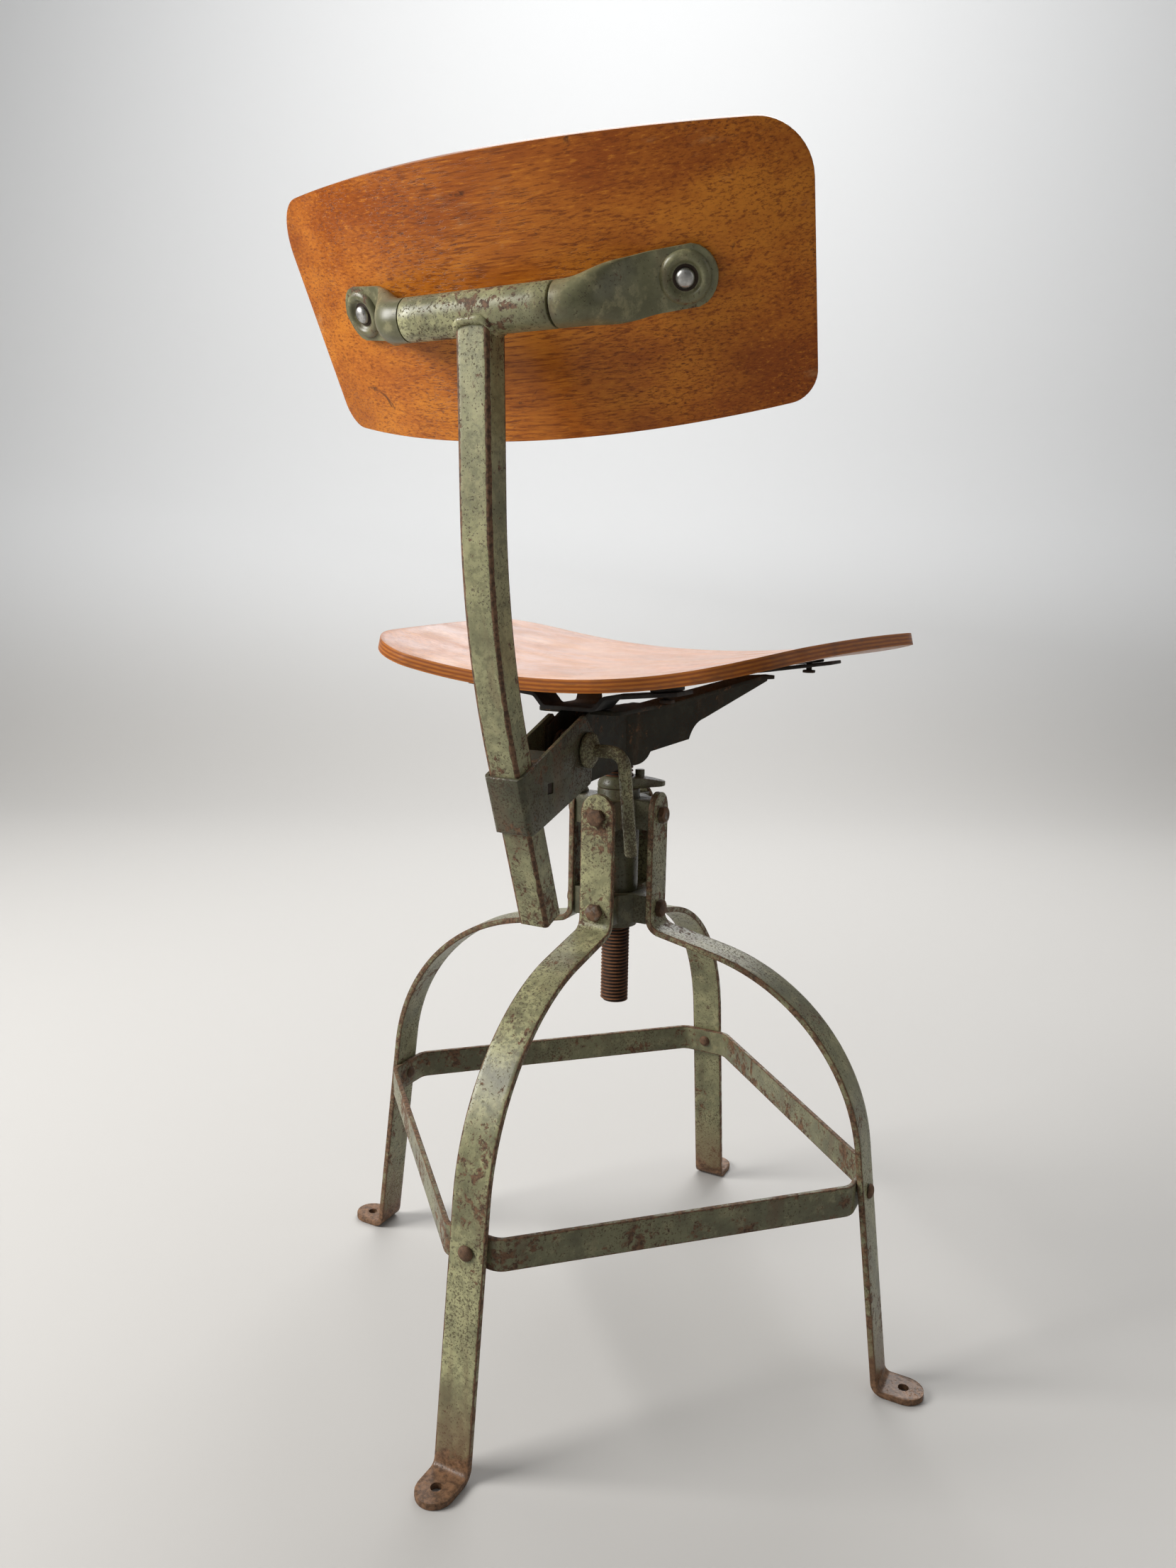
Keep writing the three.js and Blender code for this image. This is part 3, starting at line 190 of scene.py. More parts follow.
def route(x, z, heading, moves):
    """Points along straights and bends: ("go", length) or ("turn", degrees, radius, step)."""
    points = [Vector((x, z))]
    angle = math.radians(heading)
    for move in moves:
        last = points[-1]
        if move[0] == "go":
            count = max(1, math.ceil(abs(move[1]) / (move[2] if len(move) > 2 else 1e9)))
            for i in range(count):
                step = move[1] * (i + 1) / count
                points.append(last + Vector((math.cos(angle), math.sin(angle))) * step)
            continue
        _, degrees, radius, fine = move
        sweep = math.radians(degrees)
        left = angle + math.copysign(math.pi / 2, sweep)
        centre = last + Vector((math.cos(left), math.sin(left))) * radius
        count = max(2, math.ceil(abs(degrees) / fine))
        for i in range(1, count + 1):
            a = left + math.pi + sweep * i / count
            points.append(centre + Vector((math.cos(a), math.sin(a))) * radius)
        angle += sweep
    return points


def lengths_along(points):
    total = [0.0]
    for a, b in zip(points, points[1:]):
        total.append(total[-1] + (b - a).length)
    return total


def heading_at(points, i):
    before = points[max(i - 1, 0)]
    after = points[min(i + 1, len(points) - 1)]
    din = (points[i] - before).normalized() if i else (after - points[i]).normalized()
    dout = (after - points[i]).normalized() if i + 1 < len(points) else din
    along = (din + dout).normalized()
    return along, 1 / max(along.dot(din), 0.5)


def bar_section(width, depth, corner, margin=3.0, fine=2):
    """Points round a bar's section (across, deep), and how worn each is."""
    points, worn = [], []
    for sx, sy, start, ahead, behind in (
        (1, 1, 0, width, depth), (-1, 1, 90, depth, width),
        (-1, -1, 180, width, depth), (1, -1, 270, depth, width),
    ):
        middle = Vector((sx * (width / 2 - corner), sy * (depth / 2 - corner)))
        first, last = math.radians(start), math.radians(start + 90)
        arc = [math.radians(start + 90 * i / fine) for i in range(fine + 1)]
        here = [middle + corner * Vector((math.cos(a), math.sin(a))) for a in arc]
        if behind - 2 * corner > 2 * margin + 0.5:
            points.append(here[0] - margin * Vector((-math.sin(first), math.cos(first))))
            worn.append(0.0)
        points += here
        worn += [1.0 if 0 < i < fine else 0.72 for i in range(fine + 1)]
        if ahead - 2 * corner > 2 * margin + 0.5:
            points.append(here[-1] + margin * Vector((-math.sin(last), math.cos(last))))
            worn.append(0.0)
    return [tuple(point) for point in points], worn


def loft(name, rings, worn=None, looped=False, open_ends=False):
    """A skin drawn out ring by ring, by extruding a circle. Rings are in millimetres."""
    let_go()
    count = len(rings[0])
    wire = looped or open_ends
    bpy.ops.mesh.primitive_circle_add(
        vertices=count, radius=1, fill_type="NOTHING" if wire else "NGON", location=(0, 0, 0))
    piece = added(name)
    mesh = piece.data
    worn_edge = mesh.attributes.new("worn_edge", "FLOAT", "POINT")
    order = mesh.attributes.new("order", "INT", "POINT")
    for i in range(count):
        mesh.vertices[i].co = Vector(rings[0][i]) * MM
        worn_edge.data[i].value = worn[i] if worn else 0.0
        order.data[i].value = i
    enter(piece)
    drawn = list(rings[1:]) + ([rings[0]] if looped else [])
    for ring in drawn:
        if wire:
            bpy.ops.mesh.extrude_edges_move(TRANSFORM_OT_translate={"value": (0, 0, 0)})
        else:
            bpy.ops.mesh.extrude_region_move(TRANSFORM_OT_translate={"value": (0, 0, 0)})
        cage = bmesh.from_edit_mesh(mesh)
        layer = cage.verts.layers.int["order"]
        for vertex in cage.verts:
            if vertex.select:
                vertex.co = Vector(ring[vertex[layer]]) * MM
        bmesh.update_edit_mesh(mesh)
    let_go()
    mesh.attributes.remove(mesh.attributes["order"])
    close_and_face_out(piece, 0.01)
    return piece


def round_turn(count):
    """Directions round a full turn, as (cosine, sine) pairs."""
    angles = [2 * math.pi * j / count for j in range(count)]
    return [(math.cos(a), math.sin(a)) for a in angles]


def swept(middle, section, lie, narrow=lambda i: 1.0):
    """Rings of a section square to a mid line; lie(wide, out, up) places a point."""
    rings = []
    for i, point in enumerate(middle):
        along, stretch = heading_at(middle, i)
        across = Vector((-along.y, along.x)) * stretch
        rings.append([
            lie(wide * narrow(i), point.x + across.x * deep, point.y + across.y * deep)
            for wide, deep in section
        ])
    return rings


def turned(name, profile, axis, at, count):
    """A turned piece: (radius, height) rings along an axis from a point, in millimetres."""
    lie = Vector((0, 0, 1)).rotation_difference(Vector(axis)).to_matrix()
    rings = []
    for radius, height in profile:
        reach = max(radius, POLE)
        rings.append([
            Vector(at) + lie @ Vector((reach * c, reach * s, height)) for c, s in round_turn(count)])
    return loft(name, rings)


def mark_worn_edges(piece, width):
    """Marks the middle of each narrow bevel strip, so that a finish can wear through there."""
    mesh = piece.data
    cage = bmesh.new()
    cage.from_mesh(mesh)
    layer = cage.verts.layers.float.get("worn_edge") or cage.verts.layers.float.new("worn_edge")
    narrow = {}
    for face in cage.faces:
        longest = max(edge.calc_length() for edge in face.edges)
        narrow[face.index] = face.calc_area() / max(longest, 1e-9) < width * 0.9
    for vertex in cage.verts:
        faces = vertex.link_faces
        vertex[layer] = 1.0 if faces and all(narrow[f.index] for f in faces) else 0.0
    cage.to_mesh(mesh)
    cage.free()


def finished_copy(node, edge=None, fold=42):
    """A copy of a frame node with its facets merged and its edges rounded."""
    sizes = bpy.context.scene.chair_sizes
    source = frame["nodes"][node]
    take(source)
    bpy.ops.object.duplicate()
    piece = added(node + "_finished")
    bpy.ops.object.parent_clear(type="CLEAR_KEEP_TRANSFORM")
    for key in list(piece.keys()):
        del piece[key]
    piece.hide_render = False
    enter(piece)
    bpy.ops.mesh.remove_doubles(threshold=0.004 * MM)
    bpy.ops.mesh.dissolve_limited(angle_limit=math.radians(0.6))
    width = edge or sizes.edge
    modify(
        piece, "BEVEL", width=width, segments=2, limit_method="ANGLE",
        angle_limit=math.radians(fold), miter_outer="MITER_SHARP", use_clamp_overlap=True)
    mark_worn_edges(piece, width)
    smooth(piece, 38)
    return piece


def duplicate(piece, name, matrix):
    """A copy with its own mesh, moved there by a matrix."""
    take(piece)
    bpy.ops.object.duplicate()
    copy = added(name)
    copy.data.transform(matrix)
    return copy


def join(first, *others):
    take(first)
    for other in others:
        other.select_set(True)
    bpy.ops.object.join()
    return first


def fit(piece, body, slot, material, *nodes):
    """Gives a piece its finish and its body, and hides the frame nodes that it stands for. The slot is not
    used.
    """
    if material is not None:
        piece.data.materials.clear()
        piece.data.materials.append(material)
    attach(piece, body)
    if nodes:
        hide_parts(*nodes)
    return piece


def refit(node, body, slot, material, edge=None, fold=42):
    """A finished copy takes its node's place."""
    return fit(finished_copy(node, edge, fold), body, slot, material, node)


def refinish(node, material):
    """A frame node that keeps its shape takes a finish."""
    mesh_object = frame["nodes"][node]
    if not mesh_object.material_slots:
        mesh_object.data.materials.append(material)
    for slot in mesh_object.material_slots:
        slot.material = material


# ------------------------------------------------------------------ finishes
class Finish:
    """A material's nodes, added one step at a time."""

    made = {}

    def __init__(self, name, material=None):
        self.material = material or bpy.data.materials.new(name)
        self.material.use_nodes = True
        self.nodes = self.material.node_tree.nodes
        self.links = self.material.node_tree.links
        if material is None:
            self.nodes.clear()
        self.place = self.nodes.new("ShaderNodeTexCoord").outputs["Object"]

    def put(self, socket, value):
        if isinstance(value, bpy.types.NodeSocket):
            self.links.new(value, socket)
        elif isinstance(value, (tuple, list)) and len(value) == 3 and socket.type == "RGBA":
            socket.default_value = (*value, 1)
        else:
            socket.default_value = value

    def mapped(self, scale=(1, 1, 1), turn=(0, 0, 0), move=(0, 0, 0)):
        node = self.nodes.new("ShaderNodeMapping")
        self.links.new(self.place, node.inputs["Vector"])
        node.inputs["Scale"].default_value = scale
        node.inputs["Rotation"].default_value = turn
        node.inputs["Location"].default_value = move
        return node.outputs["Vector"]

    def noise(self, scale, detail=3.0, roughness=0.55, distortion=0.0, at=None):
        node = self.nodes.new("ShaderNodeTexNoise")
        self.links.new(at or self.place, node.inputs["Vector"])
        node.inputs["Scale"].default_value = scale
        node.inputs["Detail"].default_value = detail
        node.inputs["Roughness"].default_value = roughness
        node.inputs["Distortion"].default_value = distortion
        return node.outputs["Fac"]

    def attribute(self, name):
        node = self.nodes.new("ShaderNodeAttribute")
        node.attribute_name = name
        return node.outputs["Fac"]

    def part_of_place(self, axis):
        node = self.nodes.new("ShaderNodeSeparateXYZ")
        self.links.new(self.place, node.inputs["Vector"])
        return node.outputs[axis]

    def between(self, value, low, high, start=0.0, end=1.0):
        node = self.nodes.new("ShaderNodeMapRange")
        node.interpolation_type = "SMOOTHSTEP"
        self.put(node.inputs["Value"], value)
        for key, number in (("From Min", low), ("From Max", high), ("To Min", start), ("To Max", end)):
            self.put(node.inputs[key], number)
        return node.outputs["Result"]

    def calc(self, operation, a, b=0.0):
        node = self.nodes.new("ShaderNodeMath")
        node.operation = operation
        self.put(node.inputs[0], a)
        self.put(node.inputs[1], b)
        return node.outputs["Value"]

    def both(self, a, b):
        return self.calc("MULTIPLY", a, b)

    def either(self, a, b):
        return self.calc("MAXIMUM", a, b)

    def blend(self, share, a, b):
        node = self.nodes.new("ShaderNodeMix")
        node.data_type = "RGBA"
        self.put(node.inputs[0], share)
        self.put(node.inputs[6], a)
        self.put(node.inputs[7], b)
        return node.outputs[2]

    def bump(self, height, distance, strength=1.0, under=None):
        node = self.nodes.new("ShaderNodeBump")
        node.inputs["Distance"].default_value = distance
        node.inputs["Strength"].default_value = strength
        self.put(node.inputs["Height"], height)
        if under is not None:
            self.links.new(under, node.inputs["Normal"])
        return node.outputs["Normal"]

    def shade(self, **sockets):
        shader = self.nodes.new("ShaderNodeBsdfPrincipled")
        for key, value in sockets.items():
            self.put(shader.inputs[key.replace("_", " ")], value)
        out = self.nodes.new("ShaderNodeOutputMaterial")
        self.links.new(shader.outputs["BSDF"], out.inputs["Surface"])
        return self.material


def tint(colour, share):
    return tuple(min(1.0, c * share) for c in colour)


def once(make):
    """Makes a finish the first time that it is asked for."""
    def asked(*settings, **named):
        key = (make.__name__, settings, tuple(sorted(named.items())))
        if key not in Finish.made:
            Finish.made[key] = make(*settings, **named)
        return Finish.made[key]
    return asked


@once
def enamel(name, shade=1.0, pits=0.5, chips=0.5, grimy=False, bleach=0.0, toward=None):
    """Grey-green enamel with fine dark pits, rusty chips and worn edges.

    toward = (axis, from, to, amount) makes the rust heavier in one direction."""
    colours = bpy.context.scene.chair_colours
    # The under-seat flag takes the darker under-seat colour, which is painted shade with grime; it also
    # makes the paint rougher and duller
    base = tint(tuple(colours.shaded_paint if grimy else colours.paint), shade)
    rust = tuple(colours.rust)
    chalky = (1.75, 1.66, 1.70)
    pale = tuple(c * k for c, k in zip(base, chalky))
    f = Finish(name)
    cloud = f.noise(14, 5, 0.62)
    tone = f.blend(f.between(cloud, 0.36, 0.64), tint(base, 0.66), tint(base, 1.12))
    mottle = f.noise(70, 6, 0.74)
    tone = f.blend(f.between(mottle, 0.50, 0.66, 0, 0.65), tone, pale)
    tone = f.blend(f.between(mottle, 0.47, 0.33, 0, 0.60), tone, tint(base, 0.48))
    if bleach:
        rub = f.between(f.noise(17, 4, 0.62), 0.34, 0.60, 0, bleach)
        scuff = f.between(f.noise(210, 4, 0.7), 0.42, 0.56, 0.25, 1.0)
        tone = f.blend(f.both(rub, scuff), tone, tuple(c * 2.1 for c in base))
    drips = f.noise(10, 4, 0.6, at=f.mapped((5, 5, 0.9)))
    tone = f.blend(f.between(drips, 0.54, 0.72, 0, 0.45), tone, tint(rust, 1.8))
    more = 0.0
    if toward:
        axis, start, end, amount = toward
        more = f.between(f.part_of_place(axis), start, end, 0, amount)
    patch = f.calc("ADD", f.noise(13, 4, 0.65, 0.3), more)
    pit_noise = f.noise(620, 3, 0.62)
    pit_level = f.between(patch, 0.34, 0.66, 0.72 - 0.14 * pits, 0.61 - 0.14 * pits)
    pit = f.between(f.calc("SUBTRACT", pit_noise, pit_level), 0.0, 0.05)
    chip_noise = f.noise(160, 6, 0.72, 0.3)
    chip_patch = f.calc("ADD", f.noise(21, 3, 0.6), more)
    chip_level = f.between(chip_patch, 0.40, 0.72, 0.82 - 0.14 * chips, 0.61 - 0.14 * chips)
    chip = f.between(f.calc("SUBTRACT", chip_noise, chip_level), 0.0, 0.02)
    scrape_noise = f.noise(48, 4, 0.7, at=f.mapped((1.0, 1.0, 0.14), (0.3, 0.5, 0)))
    scrape = f.between(f.calc("SUBTRACT", scrape_noise, 0.82 - 0.12 * chips), 0.0, 0.02)
    ragged = f.both(f.calc("SUBTRACT", f.noise(75, 6, 0.75), 0.5), 1.25)
    edge = f.between(f.calc("ADD", f.attribute("worn_edge"), ragged), 0.60, 0.78)
    bare = f.either(f.either(chip, scrape), edge)
    rusty = f.blend(f.between(f.noise(330, 3, 0.6), 0.35, 0.65), tint(rust, 0.9), tint(rust, 2.6))
    tone = f.blend(f.both(pit, 0.70), tone, tint(rust, 0.70))
    halo = f.between(f.calc("SUBTRACT", chip_noise, chip_level), -0.06, 0.0, 0, 0.35)
    tone = f.blend(halo, tone, tint(rust, 1.7))
    tone = f.blend(bare, tone, rusty)
    rough = f.between(f.either(pit, bare), 0, 1, 0.36 if not grimy else 0.55, 0.74)
    relief = f.calc("SUBTRACT", 1.0, f.either(f.both(pit, 0.7), bare))
    normal = f.bump(relief, 0.00012, 0.8)
    normal = f.bump(mottle, 0.00022, 0.45, normal)
    return f.shade(
        Base_Color=tone, Roughness=rough, Normal=normal,
        Specular_IOR_Level=0.22 if grimy else 0.38)


@once
def browned_steel(name, shade=1.0, bright=0.0):
    """Bare steel with old brown rust, and brighter metal on its edges."""
    rust = tuple(bpy.context.scene.chair_colours.rust)
    f = Finish(name)
    cloud = f.between(f.noise(130, 5, 0.7), 0.34, 0.66)
    tone = f.blend(cloud, tint(rust, 0.7 * shade), tint(rust, 1.9 * shade))
    warm_grey = (0.16, 0.144, 0.1248)
    grey = tint(warm_grey, shade)
    rub = f.between(f.noise(60, 4, 0.6), 0.62 - 0.3 * bright, 0.72 - 0.3 * bright)
    rub = f.either(rub, f.both(f.between(f.attribute("worn_edge"), 0.3, 0.9), 0.7))
    tone = f.blend(rub, tone, grey)
    grain = f.noise(700, 3, 0.6)
    rough = f.between(rub, 0, 1, 0.78, 0.42)
    metal = f.between(rub, 0, 1, 0.15, 0.85)
    return f.shade(Base_Color=tone, Roughness=rough, Metallic=metal, Normal=f.bump(grain, 0.0001, 0.7))


@once
def thread_rust(name):
    """Orange rust on a screw's crests, with near-black painted shade in its grooves."""
    dull_rust, fresh_rust, groove_shade = (0.105, 0.036, 0.012), (0.21, 0.084, 0.030), (0.016, 0.009, 0.005)
    root, crest_r = 0.0104, 0.0118
    f = Finish(name)
    x, y = f.part_of_place("X"), f.part_of_place("Y")
    out = f.calc("SQRT", f.calc("ADD", f.both(x, x), f.both(y, y)))
    crest = f.between(out, root, crest_r)
    cloud = f.between(f.noise(120, 5, 0.7), 0.35, 0.65)
    # The grooves take a near-black colour: painted shade
    tone = f.blend(crest, groove_shade, f.blend(cloud, dull_rust, fresh_rust))
    grain = f.bump(f.noise(600, 3, 0.6), 0.0001, 0.7)
    return f.shade(Base_Color=tone, Roughness=0.66, Metallic=0.1, Normal=grain)


@once
def zinc_plate(name):
    """Dulled zinc plating with fine scratches and brown spots of dirt."""
    base = tuple(bpy.context.scene.chair_colours.zinc)
    brown_dirt = (0.16, 0.11, 0.07)
    f = Finish(name)
    tone = f.blend(f.between(f.noise(210, 4, 0.6), 0.35, 0.7), tint(base, 0.62), base)
    spot = f.between(f.noise(480, 3, 0.6), 0.62, 0.70, 0, 0.8)
    tone = f.blend(spot, tone, brown_dirt)
    rough = f.between(f.noise(160, 4, 0.6), 0.3, 0.7, 0.26, 0.48)
    scratch = f.noise(900, 2, 0.5, at=f.mapped((0.2, 1, 1.6)))
    return f.shade(Base_Color=tone, Roughness=rough, Metallic=0.92, Normal=f.bump(scratch, 0.00005, 0.5))


@once
def varnished_ply(name, turn=(0, 0, 0), pale=0.0):
    """Face veneer: fine dashed grain across the sheet, open pores, stains, a worn varnish and, with pale, a
    painted sheen.
    """
    colours = bpy.context.scene.chair_colours
    main = tuple(colours.varnish)
    dark = tuple(colours.varnish_dark)
    gold = (0.62, 0.215, 0.020)
    rubbed = (0.58, 0.31, 0.13)
    burnt = (0.045, 0.016, 0.007)
    painted_sheen = (0.20, 0.092, 0.036)
    f = Finish(name)
    bands = f.noise(2.6, 5, 0.62, 0.15, at=f.mapped((1.0, 14.0, 14.0), turn))
    cloud = f.noise(6.5, 5, 0.62)
    mix = f.calc("ADD", f.both(bands, 0.45), f.both(cloud, 0.55))
    tone = f.blend(f.between(mix, 0.40, 0.53), tint(dark, 1.25), main)
    tone = f.blend(f.between(mix, 0.50, 0.62, 0, 0.8), tone, gold)
    fibre = f.noise(46, 5, 0.72, 0.2, at=f.mapped((1.0, 15.0, 15.0), turn))
    tone = f.blend(f.between(fibre, 0.50, 0.62, 0, 0.85), tone, tint(dark, 0.80))
    tone = f.blend(f.between(fibre, 0.45, 0.34, 0, 0.70), tone, gold)
    flecks = f.noise(88, 3, 0.65, 0.1, at=f.mapped((1.0, 12.0, 12.0), turn, (0.3, 0.1, 0.2)))
    pores = f.between(flecks, 0.565, 0.625)
    crowd = f.between(f.noise(11, 3, 0.6), 0.40, 0.62, 0.15, 0.8)
    pores = f.both(pores, crowd)
    tone = f.blend(f.both(pores, 0.80), tone, tint(dark, 0.34))
    worn = f.between(f.noise(9, 5, 0.66, 0.4, at=f.mapped((1.0, 2.2, 2.2), turn)), 0.61, 0.70)
    tone = f.blend(f.both(worn, 0.36), tone, rubbed)
    stain = f.between(f.noise(27, 5, 0.66, 0.6), 0.665, 0.73, 0, 0.8)
    tone = f.blend(stain, tone, burnt)
    soot = f.between(f.noise(3.4, 3, 0.5), 0.50, 0.66, 0, 0.45)
    tone = f.blend(soot, tone, tint(dark, 0.7))
    # pale lays a painted sheen over the face, a duller tone in cloudy patches
    if pale:
        tone = f.blend(f.between(cloud, 0.3, 0.7, pale * 0.4, pale), tone, painted_sheen)
    rough = f.between(f.noise(26, 4, 0.6), 0.3, 0.7, 0.30, 0.48)
    relief = f.calc("SUBTRACT", f.both(fibre, 0.5), pores)
    normal = f.bump(relief, 0.0002, 0.7)
    return f.shade(
        Base_Color=tone, Roughness=rough, Normal=normal,
        Specular_IOR_Level=0.30 if pale else 0.22, Coat_Weight=0.04,
        Coat_Roughness=0.22)


@once
def ply_edge(name, turn=(0, 0, 0)):
    """Cut edge of the plywood: thin plies, alternately long grain and end grain."""
    dark_ply, light_ply = (0.225, 0.058, 0.007), (0.37, 0.118, 0.014)
    scored, dirty = (0.13, 0.043, 0.013), (0.085, 0.036, 0.018)
    waves = 6.5  # half waves through the board, one for each ply
    f = Finish(name)
    waver = f.between(f.noise(40, 3, 0.5), 0, 1, -0.12, 0.12)
    layer = f.calc("ADD", f.both(f.attribute("ply"), waves), waver)
    wave = f.calc("SINE", f.calc("MULTIPLY", layer, math.pi))
    fibre = f.noise(60, 4, 0.65, at=f.mapped((1.0, 1.0, 8.0), turn))
    tone = f.blend(f.between(wave, -0.5, 0.5), dark_ply, light_ply)
    tone = f.blend(f.between(fibre, 0.45, 0.7, 0, 0.55), tone, scored)
    grime = f.between(f.noise(22, 4, 0.6), 0.52, 0.72, 0, 0.6)
    tone = f.blend(grime, tone, dirty)
    relief = f.calc("ADD", f.both(wave, 0.3), fibre)
    return f.shade(
        Base_Color=tone, Roughness=0.42, Normal=f.bump(relief, 0.0002, 0.5),
        Specular_IOR_Level=0.25, Coat_Weight=0.05)


@once
def black_rubber(name):
    """Matt black with a little dust."""
    black, dusty = (0.012, 0.012, 0.012), (0.04, 0.036, 0.032)
    f = Finish(name)
    tone = f.blend(f.between(f.noise(90, 4, 0.6), 0.3, 0.7), black, dusty)
    return f.shade(Base_Color=tone, Roughness=0.75, Normal=f.bump(f.noise(500, 3, 0.6), 0.0001, 0.6))


# Under-seat enamel: its dark colour is painted shade, with grime
def grimy_enamel():
    return enamel("grimy_enamel", 1.0, pits=0.8, chips=0.6, grimy=True)


def bolt_steel():
    return browned_steel("bolt_steel", 1.35, bright=0.08)


def rusted_foot(material):
    """Lays brown rust over a leg's enamel at the foot, ragged where it starts."""
    f = Finish(material.name, material)
    shader = next(node for node in f.nodes if node.type == "BSDF_PRINCIPLED")
    ragged = f.both(f.calc("SUBTRACT", f.noise(60, 5, 0.7), 0.5), 0.05)
    height = f.calc("ADD", f.part_of_place("Z"), ragged)
    rust = tuple(bpy.context.scene.chair_colours.rust)
    grain = f.blend(f.between(f.noise(260, 5, 0.7), 0.36, 0.64), tint(rust, 1.3), tint(rust, 3.4))
    painted = shader.inputs["Base Color"].links[0].from_socket
    stained = f.blend(f.between(height, 0.085, 0.015, 0, 0.6), painted, tint(rust, 2.4))
    f.put(shader.inputs["Base Color"], f.blend(f.between(height, 0.020, 0.013), stained, grain))
    return material


# ------------------------------------------------------------------ base
QUARTERS = (("left", 0), ("rear", 90), ("right", 180), ("front", 270))


class CHAIR_OT_legs(bpy.types.Operator):
    """Four flat-bar legs, each bent from one bar with a folded foot"""

    bl_idname = "chair.legs"
    bl_label = "Legs"

    def execute(self, context):
        sizes = context.scene.chair_sizes
        lowest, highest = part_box("leg_left")
        width = (highest.y - lowest.y) / MM
        top = highest.z / MM
        reach = highest.x / MM
        thick, mid = 5.0, lowest.x / MM + 2.5
        middle = self.middle(mid, top, thick, reach, sizes.leg_knee / MM)
        total = lengths_along(middle)
        section, worn = bar_section(width, thick, 0.9)
        half = width / 2

        def narrow(i):
            """How much narrower the bar is near its two rounded ends."""
            end = min(total[i], total[-1] - total[i])
            return math.sqrt(max(half**2 - max(half - end, 0) ** 2, 0.04)) / half

        rings = swept(middle, section, lambda wide, out, up: Vector((out, wide, up)), narrow)
        leg = loft("leg_left_bar", rings, worn)
        self.drill_foot(leg)
        smooth(leg, 40)
        for name, angle in QUARTERS:
            turned_leg = leg if name == "left" else duplicate(
                leg, f"leg_{name}_bar", Matrix.Rotation(math.radians(angle), 4, "Z"))
            bleach = 0.9 if name == "rear" else 0.3
            shade = enamel(
                f"leg_enamel_{name}", 0.95, pits=0.65, chips=0.8, bleach=bleach,
                toward=("Z", 0.33, 0.40, 0.10))
            fit(turned_leg, "base", "worn_green_paint", rusted_foot(shade), f"leg_{name}")
        return {"FINISHED"}

    @staticmethod
    def middle(start, top, thick, reach, knee):
        """The bar's mid line: down the hub, out over the shoulder, round the knee, to the foot."""
        shoulder_z, shoulder_r, shoulder_turn, splay, heel, heel_r = 364.5, 12, 78, 7, 247, 8
        out = route(start, top, -90, [("go", top - shoulder_z), ("turn", shoulder_turn, shoulder_r, 6)])[-1]
        down = math.radians(90 - shoulder_turn)
        steep = math.radians(90 - splay)
        curve_x = knee * (math.sin(steep) - math.sin(down))
        curve_z = knee * (math.cos(down) - math.cos(steep))
        drop = out.y - thick / 2 - curve_z - heel_r * (1 - math.cos(steep))
        over = heel - out.x - curve_x
        tan = math.tan(math.radians(splay))
        straight = (over - drop * tan) / (math.cos(down) - math.sin(down) * tan)
        below = (drop - straight * math.sin(down)) / math.cos(math.radians(splay))
        foot = reach - heel - heel_r * math.sin(steep)
        ends = [("go", step) for step in STEPS_OF_TIP]
        tip = sum(STEPS_OF_TIP)
        return route(start, top, -90, [
            *ends, ("go", top - shoulder_z - tip, 30),
            ("turn", shoulder_turn, shoulder_r, 6),
            ("go", straight), ("turn", -(shoulder_turn - splay), knee, 2),
            ("go", below, 30), ("turn", 90 - splay, heel_r, 8),
            ("go", foot - tip), *reversed(ends),
        ])

    @staticmethod
    def drill_foot(leg):
        """The fixing hole through the foot."""
        let_go()
        radius, out = 4.3 * MM, 268 * MM
        bpy.ops.mesh.primitive_cylinder_add(
            vertices=32, radius=radius, depth=20 * MM, location=(out, 0, 2 * MM))
        drill = added("foot_drill")
        modify(leg, "BOOLEAN", operation="DIFFERENCE", object=drill, solver="EXACT")
        bpy.data.objects.remove(drill)


